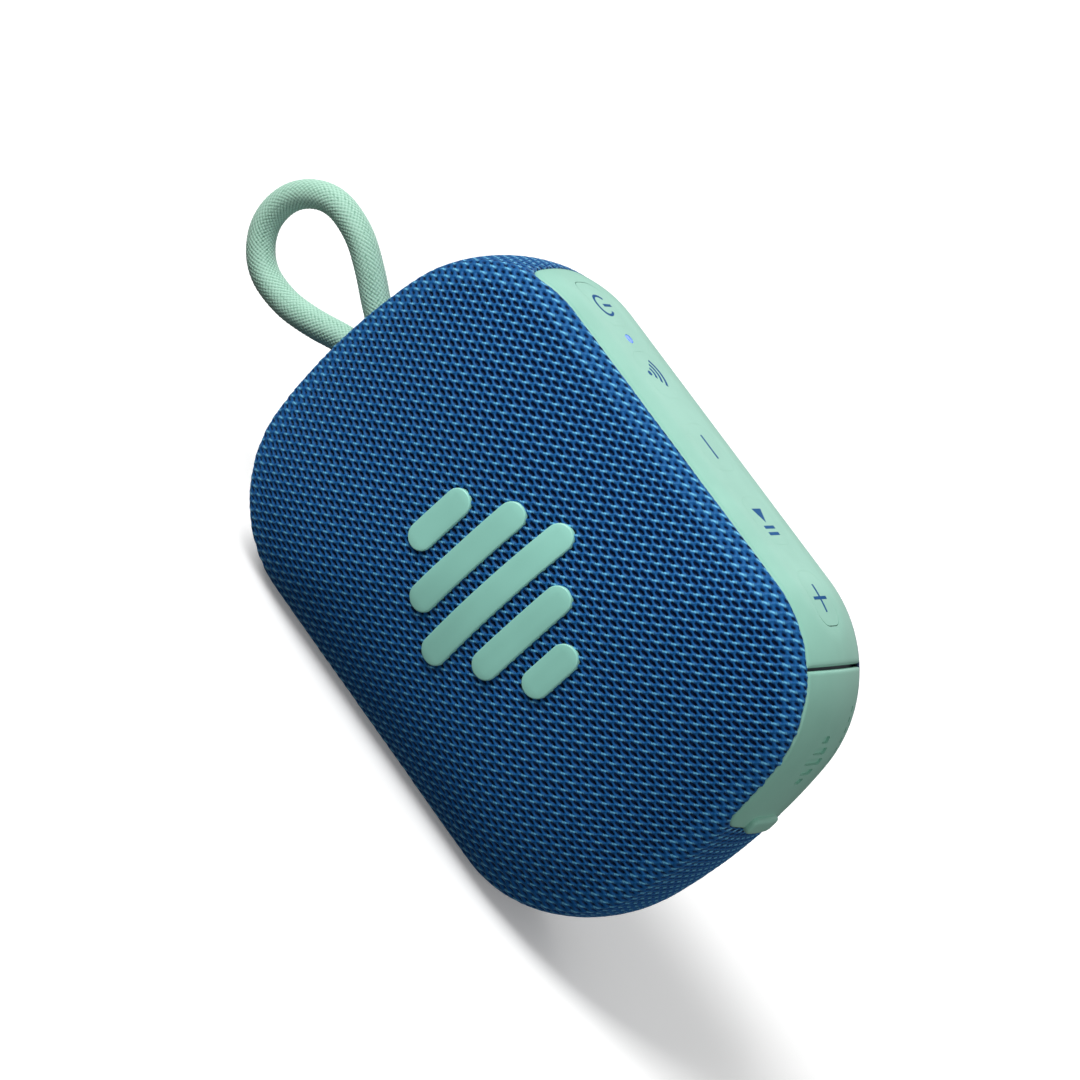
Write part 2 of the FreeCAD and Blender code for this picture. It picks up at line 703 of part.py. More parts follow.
def make_boards():
    """Main board beside the driver, key board under the strip, and what is soldered on."""
    back = board_front + board_thickness
    main = box((board_left, board_front, board_bottom), (board_right - 0.7, back, board_top))
    main = main.common(bodies(shell_in + 0.4))
    holes = [rod(1.1, (x, 0, z), (x, 6, z)) for x, z in board_posts]
    main = main.cut(holes)
    parts = [rounded_box((31, back, -8), (38, back + 1.0, -1), 0.4, 1),
             rounded_box((32, back, 4.5), (36.5, back + 0.9, 9), 0.4, 1),
             box((32.5, board_front - 2.8, -9), (37.5, board_front, -4)),
             box((31.0, back, 12.0), (36.0, back + 2.6, 16.0)),
             box((30.5, back, -13.5), (34.5, back + 2.4, -10.0)),
             rod(2.6, (34.5, board_front - 5.0, 2.0), (34.5, board_front, 2.0))]
    bottom = key_board_top - key_board_thickness
    key_board = rounded_box((-33.5, -5, bottom), (34.8, 5, key_board_top), 1.5, 2)
    key_holes = [rod(0.9, (x, 0, 20), (x, 0, 30))
                 for x in (key_x(1) + key_pitch / 2, key_x(3) - key_pitch / 2)]
    led = box((light_x - 1.0, -0.7, key_board_top), (light_x + 1.0, 0.7, key_board_top + 0.7))
    return main, parts, key_board.cut(key_holes), led


def make_board_screws():
    back = board_front + board_thickness
    screws = []
    for x, z in board_posts:
        shank = rod(0.8, (x, -3.8, z), (x, back, z))
        head = rod(1.5, (x, back, z), (x, back + 1.0, z))
        slot = box((x - 1.1, back + 0.6, z - 0.2), (x + 1.1, back + 2, z + 0.2))
        screws.append(shank.fuse(head).cut(slot))
    bottom = key_board_top - key_board_thickness
    for x in (key_x(1) + key_pitch / 2, key_x(3) - key_pitch / 2):
        shank = rod(0.6, (x, 0, bottom), (x, 0, 30.8))
        head = rod(1.3, (x, 0, bottom - 0.9), (x, 0, bottom))
        slot = box((x - 1.0, -0.2, bottom - 2), (x + 1.0, 0.2, bottom - 0.5))
        screws.append(shank.fuse(head).cut(slot))
    return screws


def make_shell_screws():
    screws = []
    for x, z in boss_places:
        shank = rod(0.8, (x, 0.5, z), (x, screw_seat_y, z))
        head = rod(1.8, (x, screw_seat_y, z), (x, screw_seat_y + screw_head, z))
        floor = screw_seat_y + screw_head - 0.6
        cross = box((x - 1.2, floor, z - 0.25), (x + 1.2, floor + 2, z + 0.25))
        cross = cross.fuse(box((x - 0.25, floor, z - 1.2), (x + 0.25, floor + 2, z + 1.2)))
        screws.append(shank.fuse(head).cut(cross))
    return screws


def make_ribbon():
    """Flat cable from the underside of the key board down to the main board."""
    thick = 0.2
    under = key_board_top - key_board_thickness
    face = board_front
    bend = 1.6
    corner = vec(0, face - bend, under - bend)
    lower = vec(0, face, 15.0)
    upper = vec(0, face, under - bend)
    turned = corner.add(vec(0, bend * math.cos(math.pi / 4), bend * math.sin(math.pi / 4)))
    level = vec(0, face - bend, under)
    end = vec(0, -4.0, under)
    inner_turned = corner.add(vec(0, (bend - thick) * math.cos(math.pi / 4),
                                  (bend - thick) * math.sin(math.pi / 4)))
    step_y = vec(0, -thick, 0)
    step_z = vec(0, 0, -thick)
    edges = [Part.LineSegment(lower, upper).toShape(), Part.Arc(upper, turned, level).toShape(),
             Part.LineSegment(level, end).toShape(), Part.LineSegment(end, end.add(step_z)).toShape(),
             Part.LineSegment(end.add(step_z), level.add(step_z)).toShape(),
             Part.Arc(level.add(step_z), inner_turned, upper.add(step_y)).toShape(),
             Part.LineSegment(upper.add(step_y), lower.add(step_y)).toShape(),
             Part.LineSegment(lower.add(step_y), lower).toShape()]
    ribbon = Part.Face(Part.Wire(edges)).extrude(vec(5.0, 0, 0))
    ribbon.translate(vec(27.5, 0, 0))
    return ribbon


def make_leads():
    battery = route_tube([(-33.5, 5.5, 21.05), (-33.3, 5.8, 23.9), (-27.0, 6.3, 24.9), (-14.0, 6.6, 24.6),
                          (6.0, 6.2, 25.0), (22.0, 5.8, 24.8), (29.4, 4.9, 23.2), (33.2, 4.3, 19.6),
                          (33.5, 4.2, 16.0)], 0.6, "battery_lead")
    driver = route_tube([(15.32, -5.0, -12.86), (18.2, -4.4, -15.2), (21.6, 0.4, -16.6),
                         (25.4, 4.6, -14.4), (30.5, 4.2, -11.9)], 0.5, "driver_lead")
    return battery, driver


os.makedirs("parts", exist_ok=True)

save("front_shell", make_front_shell())
save("rear_shell", make_rear_shell())
save("shell_seal", make_seal())
front_fabric, rear_fabric = make_fabrics()
save("front_fabric", front_fabric)
save("rear_fabric", rear_fabric)
save("control_strip", make_strip())
for number, key_name in enumerate(key_names):
    save(key_name + "_key", make_key(number))
    save(key_name + "_plunger", make_plunger(number))
save("tact_switches", *make_switches())
light = rod(light_radius, (light_x, 0, key_board_top + 1.0), (light_x, 0, 40)).common(bodies(0.0))
save("status_light_pipe", light)
save("port_cover", make_port_cover())
save("port_bay", make_port_bay())
save("usb_c_socket", make_socket())
save("lanyard_rope", make_rope())
lanyard_bezel, lanyard_block, lanyard_pin, rope_root = make_lanyard_parts()
save("lanyard_bezel", lanyard_bezel)
save("lanyard_block", lanyard_block)
save("lanyard_pin", lanyard_pin)
save("lanyard_root", *rope_root)
save("foot_pad", make_foot())
save("front_badge", *make_badge())
for driver_name, driver_piece in make_driver().items():
    if isinstance(driver_piece, list):
        save(driver_name, *driver_piece)
    else:
        save(driver_name, driver_piece)
radiator_frame, radiator_plate, radiator_surround = make_radiator()
save("radiator_frame", radiator_frame)
save("radiator_plate", radiator_plate)
save("radiator_surround", radiator_surround)
battery_cell, battery_cradle, battery_pads = make_battery()
save("battery_cell", battery_cell)
save("battery_cradle", battery_cradle)
save("battery_pads", *battery_pads)
main_board, board_parts, key_board, status_led = make_boards()
save("main_board", main_board)
save("board_components", *board_parts)
save("key_board", key_board)
save("status_led", status_led)
save("key_ribbon", make_ribbon())
battery_lead, driver_lead = make_leads()
save("battery_lead", battery_lead.cut(board_parts))
save("driver_lead", driver_lead.cut(board_parts))
save("shell_screws", *make_shell_screws())
save("board_screws", *make_board_screws())
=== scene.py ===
import json
import math
import random

import bmesh
import bpy
from mathutils import Matrix, Vector
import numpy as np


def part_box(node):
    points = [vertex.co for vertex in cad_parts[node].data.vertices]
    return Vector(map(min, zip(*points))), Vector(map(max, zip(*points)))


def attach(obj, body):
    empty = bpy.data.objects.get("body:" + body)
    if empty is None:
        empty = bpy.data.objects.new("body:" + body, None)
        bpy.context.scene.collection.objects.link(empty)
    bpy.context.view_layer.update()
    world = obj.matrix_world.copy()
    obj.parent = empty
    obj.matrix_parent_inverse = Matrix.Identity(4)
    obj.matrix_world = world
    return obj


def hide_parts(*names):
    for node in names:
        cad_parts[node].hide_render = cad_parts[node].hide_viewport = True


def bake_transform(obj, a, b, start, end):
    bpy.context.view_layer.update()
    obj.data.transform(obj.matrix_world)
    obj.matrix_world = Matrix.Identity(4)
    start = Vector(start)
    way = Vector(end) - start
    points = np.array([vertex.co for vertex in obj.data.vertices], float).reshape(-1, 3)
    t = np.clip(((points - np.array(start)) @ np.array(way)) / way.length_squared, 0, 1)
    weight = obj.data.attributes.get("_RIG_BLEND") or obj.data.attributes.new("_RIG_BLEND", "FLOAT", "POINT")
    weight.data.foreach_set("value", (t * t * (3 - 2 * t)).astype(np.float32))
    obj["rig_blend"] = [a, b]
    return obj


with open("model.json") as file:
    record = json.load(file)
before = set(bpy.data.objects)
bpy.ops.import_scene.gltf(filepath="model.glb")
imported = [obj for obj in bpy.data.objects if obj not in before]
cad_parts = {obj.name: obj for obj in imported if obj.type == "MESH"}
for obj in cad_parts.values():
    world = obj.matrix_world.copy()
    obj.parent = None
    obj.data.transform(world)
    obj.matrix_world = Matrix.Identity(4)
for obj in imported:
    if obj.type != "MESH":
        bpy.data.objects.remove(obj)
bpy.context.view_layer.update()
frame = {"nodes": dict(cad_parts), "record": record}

mm = 0.001
lowBezel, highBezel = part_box("lanyard_bezel")
# the shapes below are drawn in mm about this point
bodyMiddle = Vector((0, 0, (lowBezel.z + highBezel.z) / 2))


# camera, floor and lights

view = {"aim": (-0.00644, -0.00059, 0.0403), "azimuth": 16.67, "elevation": 20.69,
        "distance": 0.74126, "roll": 47.87, "lens": 153.86}
studio = {"keyFrom": (-0.56, -0.44, 0.72), "keyDistance": 2.4, "keySize": 1.2, "keyPower": 62.0,
          "rimFrom": (-0.32, 0.82, 0.48), "rimPower": 9.0, "fillFrom": (0.8, -0.45, 0.3), "fillPower": 12.0,
          "skyAbove": 0.37, "skyBelow": 0.06, "backdrop": 1.0, "horizon": (-0.3, 0.6),
          "floor": (252, 252, 252), "floorTone": (250, 250, 249), "floorSize": 4.0, "floorGlow": 0.16}


def tint(red, green, blue):  # screen colour to linear light
    return tuple((v / 255 / 12.92) if v < 10.4 else ((v / 255 + 0.055) / 1.055) ** 2.4
                 for v in (red, green, blue)) + (1.0,)


def place(name, data):
    piece = bpy.data.objects.new(name, data)
    bpy.context.scene.collection.objects.link(piece)
    return piece


def makeCamera():
    turn, rise = math.radians(view["azimuth"]), math.radians(view["elevation"])
    away = Vector((math.sin(turn) * math.cos(rise), -math.cos(turn) * math.cos(rise), math.sin(rise)))
    camera = place("camera", bpy.data.cameras.new("camera"))
    camera.data.lens = view["lens"]
    camera.data.sensor_width = 36
    camera.data.clip_start = 0.01
    camera.location = Vector(view["aim"]) + away * view["distance"]
    facing = (-away).to_track_quat("-Z", "Y").to_matrix()
    camera.rotation_euler = (facing @ Matrix.Rotation(math.radians(view["roll"]), 3, "Z")).to_euler()
    bpy.context.scene.camera = camera


def makeLight(name, toward, power, size):
    lamp = place(name, bpy.data.lights.new(name, "AREA"))
    lamp.data.energy = power
    lamp.data.size = size
    toward = Vector(toward).normalized()
    lamp.location = bodyMiddle + toward * studio["keyDistance"]
    lamp.rotation_euler = toward.to_track_quat("Z", "Y").to_euler()


makeCamera()
for name in ("key", "rim", "fill"):
    makeLight(name + "Light", studio[name + "From"], studio[name + "Power"], studio["keySize"])
world = bpy.data.worlds.new("studio")
bpy.context.scene.world = world
world.use_nodes = True
backdrop = world.node_tree.nodes["Background"]
backdrop.inputs["Color"].default_value = (1, 1, 1, 1)
seen = world.node_tree.nodes.new("ShaderNodeLightPath").outputs["Is Camera Ray"]
upward = world.node_tree.nodes.new("ShaderNodeSeparateXYZ")  # less light from below than from above
direction = world.node_tree.nodes.new("ShaderNodeTexCoord").outputs["Generated"]
world.node_tree.links.new(direction, upward.inputs[0])
rise = world.node_tree.nodes.new("ShaderNodeMapRange")
level = world.node_tree.nodes.new("ShaderNodeMapRange")
for node, source in ((rise, upward.outputs["Z"]), (level, seen)):
    world.node_tree.links.new(source, node.inputs["Value"])
for label, value in (("From Min", studio["horizon"][0]), ("From Max", studio["horizon"][1]),
                     ("To Min", studio["skyBelow"]), ("To Max", studio["skyAbove"])):
    rise.inputs[label].default_value = value
world.node_tree.links.new(rise.outputs["Result"], level.inputs["To Min"])
level.inputs["To Max"].default_value = studio["backdrop"]
world.node_tree.links.new(level.outputs["Result"], backdrop.inputs["Strength"])
bpy.context.scene.view_settings.view_transform = "Standard"
print("camera, lights and sky")


# shader groups: grain for moulded and metal finishes, fibre for cloth and rope

def newGroup(name, ins, outs):
    group = bpy.data.node_groups.new(name, "ShaderNodeTree")
    for label, value in ins:
        socket = group.interface.new_socket(label, in_out="INPUT", socket_type="NodeSocketFloat")
        socket.default_value = value
    for label in outs:
        group.interface.new_socket(label, in_out="OUTPUT", socket_type="NodeSocketFloat")
    return group, group.nodes.new("NodeGroupInput"), group.nodes.new("NodeGroupOutput")


def mathNode(tree, operation, first, second):
    node = tree.nodes.new("ShaderNodeMath")
    node.operation = operation
    for socket, value in zip(node.inputs, (first, second)):
        if isinstance(value, (int, float)):
            socket.default_value = value
        else:
            tree.links.new(value, socket)
    return node.outputs[0]


def noiseNode(tree, vector, scale, detail, rough=0.55):
    node = tree.nodes.new("ShaderNodeTexNoise")
    node.inputs["Detail"].default_value = detail
    node.inputs["Roughness"].default_value = rough
    tree.links.new(vector, node.inputs["Vector"])
    if isinstance(scale, (int, float)):
        node.inputs["Scale"].default_value = scale
    else:
        tree.links.new(scale, node.inputs["Scale"])
    return node.outputs["Fac"]


def makeGrain():  # fine moulded grain, slow cloudy tone, and a few handling marks
    group, ins, outs = newGroup("grain", [("Scale", 4000.0), ("Stretch", 1.0)], ["Height", "Tone", "Marks"])
    where = group.nodes.new("ShaderNodeTexCoord").outputs["Object"]
    squeeze = group.nodes.new("ShaderNodeCombineXYZ")
    squeeze.inputs["Y"].default_value = 1.0
    squeeze.inputs["Z"].default_value = 1.0
    group.links.new(ins.outputs["Stretch"], squeeze.inputs["X"])
    scaled = group.nodes.new("ShaderNodeVectorMath")
    scaled.operation = "MULTIPLY"
    group.links.new(where, scaled.inputs[0])
    group.links.new(squeeze.outputs[0], scaled.inputs[1])
    fine = noiseNode(group, scaled.outputs[0], ins.outputs["Scale"], 3.0)
    slow = noiseNode(group, where, mathNode(group, "MULTIPLY", ins.outputs["Scale"], 0.02), 2.0)
    spots = noiseNode(group, where, mathNode(group, "MULTIPLY", ins.outputs["Scale"], 0.12), 4.0, 0.7)
    marks = mathNode(group, "MAXIMUM", mathNode(group, "SUBTRACT", spots, 0.58), 0.0)
    group.links.new(fine, outs.inputs["Height"])
    group.links.new(slow, outs.inputs["Tone"])
    group.links.new(mathNode(group, "MULTIPLY", marks, 4.0), outs.inputs["Marks"])
    return group


def makeFibre():  # fine twisted fibres, and how they vary in tone
    group, ins, outs = newGroup("fibre", [("Scale", 6000.0), ("Depth", 0.0)], ["Height", "Tone"])
    where = group.nodes.new("ShaderNodeTexCoord").outputs["Object"]
    hairs = noiseNode(group, where, ins.outputs["Scale"], 4.0, 0.7)
    tufts = noiseNode(group, where, mathNode(group, "MULTIPLY", ins.outputs["Scale"], 0.18), 2.0)
    lowered = mathNode(group, "MULTIPLY", ins.outputs["Depth"], -0.4)
    group.links.new(mathNode(group, "ADD", hairs, lowered), outs.inputs["Height"])
    group.links.new(tufts, outs.inputs["Tone"])
    return group


grainGroup = makeGrain()
fibreGroup = makeFibre()


def addGroup(tree, group, **values):
    node = tree.nodes.new("ShaderNodeGroup")
    node.node_tree = group
    for label, value in values.items():
        node.inputs[label].default_value = value
    return node


def mixNode(tree, factor, first, second):
    node = tree.nodes.new("ShaderNodeMix")
    node.data_type = "RGBA"
    for socket, value in ((node.inputs[0], factor), (node.inputs[6], first), (node.inputs[7], second)):
        if isinstance(value, bpy.types.NodeSocket):
            tree.links.new(value, socket)
        else:
            socket.default_value = value
    return node.outputs[2]


def rangeNode(tree, value, fromLow, fromHigh, toLow, toHigh):
    node = tree.nodes.new("ShaderNodeMapRange")
    tree.links.new(value, node.inputs["Value"])
    labels = ("From Min", "From Max", "To Min", "To Max")
    for label, number in zip(labels, (fromLow, fromHigh, toLow, toHigh)):
        node.inputs[label].default_value = number
    return node.outputs["Result"]


def bumpNode(tree, height, strength, distance):
    node = tree.nodes.new("ShaderNodeBump")
    node.inputs["Strength"].default_value = strength
    node.inputs["Distance"].default_value = distance
    tree.links.new(height, node.inputs["Height"])
    return node.outputs["Normal"]


def startMaterial(name, **sockets):
    material = bpy.data.materials.new(name)
    material.use_nodes = True
    shader = material.node_tree.nodes["Principled BSDF"]
    for label, value in sockets.items():
        shader.inputs[label.replace("_", " ")].default_value = value
    return material, material.node_tree, shader


def moulded(name, light, dark, rough, bump, scale=4000.0, stretch=1.0, **sockets):
    material, tree, shader = startMaterial(name, **sockets)
    grain = addGroup(tree, grainGroup, Scale=scale, Stretch=stretch)
    tone = rangeNode(tree, grain.outputs["Tone"], 0.35, 0.65, 0.0, 1.0)
    colour = mixNode(tree, tone, tint(*dark), tint(*light))
    worn = mixNode(tree, mathNode(tree, "MULTIPLY", grain.outputs["Marks"], 0.25), colour, tint(*light))
    tree.links.new(worn, shader.inputs["Base Color"])
    tree.links.new(rangeNode(tree, grain.outputs["Marks"], 0.0, 1.0, rough, rough * 0.8),
                   shader.inputs["Roughness"])
    tree.links.new(bumpNode(tree, grain.outputs["Height"], bump, 0.00008), shader.inputs["Normal"])
    return material


# finish of each slot: light tone, dark tone, roughness, bump, grain scale, stretch and fixed sockets
finishes = {
    "mint_rubber": ((142, 199, 180), (136, 193, 174), 0.5, 0.10, 5200.0, 1.0, {"Sheen_Weight": 0.15}),
    "mint_plastic": ((154, 218, 202), (148, 211, 195), 0.36, 0.05, 4200.0, 1.0, {}),
    "navy_rubber": ((34, 60, 96), (26, 48, 82), 0.62, 0.25, 3000.0, 1.0, {}),
    "navy_plastic": ((38, 66, 104), (30, 54, 90), 0.42, 0.12, 3600.0, 1.0, {}),
    "shell_plastic": ((62, 72, 88), (52, 61, 76), 0.48, 0.22, 3200.0, 1.0, {}),
    "black_rubber": ((40, 40, 42), (30, 30, 32), 0.68, 0.22, 3000.0, 1.0, {}),
    "clear_plastic": ((214, 230, 245), (196, 216, 236), 0.18, 0.03, 2400.0, 1.0, {}),
    "steel": ((190, 192, 196), (160, 162, 168), 0.28, 0.14, 2600.0, 0.08, {"Metallic": 1.0}),
    "black_metal": ((44, 45, 48), (34, 35, 38), 0.5, 0.35, 5200.0, 1.0, {"Metallic": 0.3}),
    "dark_magnet": ((88, 88, 92), (70, 70, 75), 0.62, 0.3, 3600.0, 1.0, {"Metallic": 0.4}),
    "paper_cone": ((64, 64, 68), (46, 46, 50), 0.82, 0.6, 2200.0, 0.5, {}),
    "copper": ((214, 140, 92), (188, 112, 70), 0.32, 0.45, 7000.0, 0.1, {"Metallic": 1.0}),
    "cell_wrap": ((70, 128, 186), (58, 112, 170), 0.3, 0.16, 1100.0, 1.0, {"Coat_Weight": 0.3}),
    "board_green": ((34, 104, 66), (22, 82, 50), 0.34, 0.3, 1500.0, 1.0, {"Coat_Weight": 0.4}),
    "black_plastic": ((48, 48, 52), (38, 38, 42), 0.42, 0.2, 3600.0, 1.0, {}),
    "amber_film": ((214, 142, 44), (190, 120, 32), 0.24, 0.08, 1800.0, 1.0, {"Coat_Weight": 0.3}),
    "wire_red": ((186, 40, 34), (160, 30, 26), 0.34, 0.1, 3000.0, 1.0, {}),
}
materials = {name: moulded(name, *values[:-1], **values[-1]) for name, values in finishes.items()}
print("materials:", len(materials), "moulded and metal finishes")


# the body's outline and bulge, in millimetres about its middle

bodyShape = {"halfWidth": 51.0, "halfHeight": 34.9, "depth": 22.0, "cornerRadius": 22.6, "sideCrown": 1.0,
             "bandHalf": 10.5, "bandCrown": 1.2, "domeRound": 0.74, "domePower": 6.0}
bandHalf = bodyShape["bandHalf"]
cornerRadius = bodyShape["cornerRadius"]
cornerX = bodyShape["halfWidth"] - cornerRadius - bodyShape["sideCrown"]
cornerZ = bodyShape["halfHeight"] - cornerRadius
reach = bodyShape["halfWidth"] - cornerX
sideRadius = (cornerZ ** 2 + reach ** 2 - cornerRadius ** 2) / (2 * (reach - cornerRadius))
sideX = bodyShape["halfWidth"] - sideRadius
sideTurn = math.atan2(cornerZ, cornerX - sideX)
cornerRun = cornerRadius * (math.pi / 2 - sideTurn)
quarterRun = cornerX + cornerRun + sideRadius * sideTurn  # from the top's middle to the side's middle
bulgeTerms = ((3, 0.365), (7, 0.33), (11, 0.11))  # powers and weights of the length that the bulge adds


def outlineAt(run):  # place and outward direction on the outline, run mm to the right of the top's middle
    along, flip = abs(run), 1
    if along > quarterRun:
        along, flip = 2 * quarterRun - along, -1
    if along <= cornerX:
        spot, out = (along, bodyShape["halfHeight"]), (0.0, 1.0)
    elif along <= cornerX + cornerRun:
        turn = (along - cornerX) / cornerRadius
        out = (math.sin(turn), math.cos(turn))
        spot = (cornerX + cornerRadius * out[0], cornerZ + cornerRadius * out[1])
    else:
        turn = sideTurn - (along - cornerX - cornerRun) / sideRadius
        out = (math.cos(turn), math.sin(turn))
        spot = (sideX + sideRadius * out[0], sideRadius * out[1])
    side = 1 if run >= 0 else -1
    return Vector((side * spot[0], flip * spot[1])), Vector((side * out[0], flip * out[1]))


def outlineNear(x, z):  # gap outside the outline, and the run of the nearest place on it
    ax, az = abs(x), abs(z)
    swing = math.atan2(az, ax - sideX)
    if ax <= cornerX and swing > sideTurn:
        gap, run = az - bodyShape["halfHeight"], ax
    elif swing <= sideTurn:
        gap = math.hypot(ax - sideX, az) - sideRadius
        run = cornerX + cornerRun + (sideTurn - swing) * sideRadius
    else:
        gap = math.hypot(ax - cornerX, az - cornerZ) - cornerRadius
        turn = math.atan2(ax - cornerX, az - cornerZ)
        run = cornerX + min(max(turn * cornerRadius, 0.0), cornerRun)
    if z < 0:
        run = 2 * quarterRun - run
    return gap, run if x >= 0 else -run


def rimShare(x, z):  # 0 at the middle of the front, 1 on the outline
    ax, az = abs(x), abs(z)
    square = ax * ax + az * az
    if square < 1e-9:
        return 0.0
    grow = bodyShape["halfHeight"] / max(az, 1e-9)
    if ax * grow <= cornerX:
        return 1 / grow
    grow = (sideX * ax + math.sqrt((sideX * ax) ** 2 - square * (sideX ** 2 - sideRadius ** 2))) / square
    if math.atan2(az * grow, ax * grow - sideX) <= sideTurn:
        return 1 / grow
    toward = ax * cornerX + az * cornerZ
    spare = cornerX ** 2 + cornerZ ** 2 - cornerRadius ** 2
    return square / (toward + math.sqrt(toward ** 2 - square * spare))


def settle(x, z):  # flat cloth laid over the bulge keeps its length from the middle outwards
    share = rimShare(x, z)
    if share < 1e-6:
        return x, z
    steep = ((bodyShape["depth"] - bandHalf) * share / math.hypot(x, z)) ** 2

    def laid(t):
        return t + steep * sum(weight * t ** power for power, weight in bulgeTerms)

    full = laid(1)
    if share >= full:
        return x * (1 + share - full) / share, z * (1 + share - full) / share
    t = share / full
    for turn in range(4):
        slope = 1 + steep * sum(power * weight * t ** (power - 1) for power, weight in bulgeTerms)
        t -= (laid(t) - share) / slope
    return x * t / share, z * t / share


def domeDepth(x, z):
    share = min(rimShare(x, z), 1.0)
    rounded = bodyShape["domeRound"]
    drop = rounded * share ** 2 + (1 - rounded) * share ** bodyShape["domePower"]
    return bodyShape["depth"] - (bodyShape["depth"] - bandHalf) * drop


def bandPoint(run, y, lift):
    spot, out = outlineAt(run)
    grow = bodyShape["bandCrown"] * (1 - (y / bandHalf) ** 2) + lift
    return Vector((spot[0] + out[0] * grow, y, spot[1] + out[1] * grow))


def roundedGap(x, y, low, high, radius):  # signed distance outside a rounded rectangle, with its direction
    middleX, middleY = (low[0] + high[0]) / 2, (low[1] + high[1]) / 2
    dx = abs(x - middleX) - (high[0] - low[0]) / 2 + radius
    dy = abs(y - middleY) - (high[1] - low[1]) / 2 + radius
    sx, sy = (1 if x >= middleX else -1), (1 if y >= middleY else -1)
    if dx > 0 and dy > 0:
        far = math.hypot(dx, dy)
        return far - radius, (sx * dx / far, sy * dy / far)
    if dx > dy:
        return dx - radius, (sx, 0.0)
    return dy - radius, (0.0, sy)


def meshFrom(form, name):  # the bmesh is used up
    mesh = bpy.data.meshes.new(name)
    form.to_mesh(mesh)
    form.free()
    return mesh


def roundEdges(form, edges, offset):
    bmesh.ops.bevel(form, geom=edges, offset=offset, offset_type="OFFSET", segments=3, profile=0.5,
                    affect="EDGES", material=-1)


def edgeAt(edge, axis, value, near=1e-6):  # whether both ends of an edge are at one value of an axis
    return all(abs(vertex.co[axis] - value) < near for vertex in edge.verts)


def finishPiece(name, form, body, material, sharp=35.0):  # bmesh in mm about the middle to a finished piece
    bmesh.ops.scale(form, vec=(mm, mm, mm), verts=form.verts)
    bmesh.ops.translate(form, vec=bodyMiddle, verts=form.verts)
    for face in form.faces:
        face.smooth = True
    for edge in form.edges:
        edge.smooth = len(edge.link_faces) == 2 and edge.calc_face_angle(0.0) < math.radians(sharp)
    mesh = meshFrom(form, name)
    piece = place(name, mesh)
    mesh.materials.append(material)
    if body:
        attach(piece, body)
    return piece


# rope loop: a braided sheath on a smooth line through the route's points

rope = {"radius": 2.5, "strands": 20, "lay": 0.82, "relief": 0.2, "around": 96, "rings": 420,
        # the crevice colour is painted shade, laid in the braid's crevices
        "pale": (188, 229, 210), "lit": (170, 216, 195), "crevice": (122, 170, 147),
        "route": [(-0.0432, 0, 0.03965), (-0.0482, 0, 0.03965), (-0.0518, 0, 0.0399), (-0.0551, 0, 0.0412),
                  (-0.0602, 0, 0.0439), (-0.0666, 0, 0.0464), (-0.0742, 0, 0.0463), (-0.0795, 0, 0.0410),
                  (-0.0795, 0, 0.0336), (-0.0742, 0, 0.0283), (-0.0668, 0, 0.0281), (-0.0602, 0, 0.0303),
                  (-0.0551, 0, 0.0328), (-0.0518, 0, 0.0340), (-0.0482, 0, 0.03415), (-0.0432, 0, 0.03415)]}


def splinePoints(route):  # points read from a smooth spline with the route as its control points
    curve = bpy.data.curves.new("ropeLine", "CURVE")
    curve.dimensions = "3D"
    spline = curve.splines.new("NURBS")
    spline.points.add(len(route) - 1)
    for point, spot in zip(spline.points, route):
        point.co = (*spot, 1)
    spline.order_u = 3
    spline.use_endpoint_u = True
    spline.resolution_u = 24
    line = place("ropeLine", curve)
    read = bpy.data.meshes.new_from_object(line)
    points = [vertex.co.copy() for vertex in read.vertices]
    bpy.data.objects.remove(line)
    bpy.data.meshes.remove(read)
    return points


def evenly(points, count):  # the same line in equal steps
    lengths = [0.0]
    for first, second in zip(points, points[1:]):
        lengths.append(lengths[-1] + (second - first).length)
    spots, index = [], 0
    for step in range(count + 1):
        want = lengths[-1] * step / count
        while index < len(points) - 2 and lengths[index + 1] < want:
            index += 1
        share = (want - lengths[index]) / max(lengths[index + 1] - lengths[index], 1e-12)
        spots.append(points[index].lerp(points[index + 1], share))
    return spots, lengths[-1]


def braidAt(around, along):  # height of two crossing families of strands, from 0 in a crevice to 1
    first = rope["strands"] * around + along
    second = rope["strands"] * around - along
    across, onward = (first, second) if (math.floor(first) + math.floor(second)) % 2 else (second, first)
    return abs(math.sin(math.pi * across)) ** 0.8 * (0.62 + 0.38 * abs(math.sin(math.pi * onward)) ** 0.6)


def makeRope():
    line, length = evenly(splinePoints(rope["route"]), rope["rings"])
    form = bmesh.new()
    bmesh.ops.create_grid(form, x_segments=rope["rings"], y_segments=rope["around"], size=0.5)
    crevice = form.verts.layers.float.new("crevice")
    for vertex in form.verts:
        step = round((vertex.co.x + 0.5) * rope["rings"])
        turn = vertex.co.y + 0.5
        ahead = (line[min(step + 1, rope["rings"])] - line[max(step - 1, 0)]).normalized()
        outward = ahead.cross(Vector((0, 1, 0)))
        along = length * step / rope["rings"] / mm / rope["lay"]
        ridge = braidAt(turn % 1.0, along)
        radius = (rope["radius"] - rope["relief"] + rope["relief"] * ridge) * mm
        # crevice depth of the braid, for its bump and its painted shade
        vertex[crevice] = 1 - ridge
        vertex.co = line[step] + (outward * math.cos(2 * math.pi * turn)
                                  + Vector((0, 1, 0)) * math.sin(2 * math.pi * turn)) * radius
    bmesh.ops.remove_doubles(form, verts=form.verts, dist=0.000002)
    bmesh.ops.holes_fill(form, edges=[edge for edge in form.edges if edge.is_boundary], sides=0)
    bmesh.ops.recalc_face_normals(form, faces=form.faces)
    for face in form.faces:
        face.smooth = True
    mesh = meshFrom(form, "ropeLoop")
    mesh.materials.append(makeRopeFinish())
    piece = place("ropeLoop", mesh)
    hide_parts("lanyard_rope", "lanyard_root")
    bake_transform(piece, "enclosure", "lanyard", start=(-0.0525, 0, bodyMiddle.z), end=(-0.058, 0, bodyMiddle.z))
    print("rope loop:", round(length * 1000, 1), "mm long")


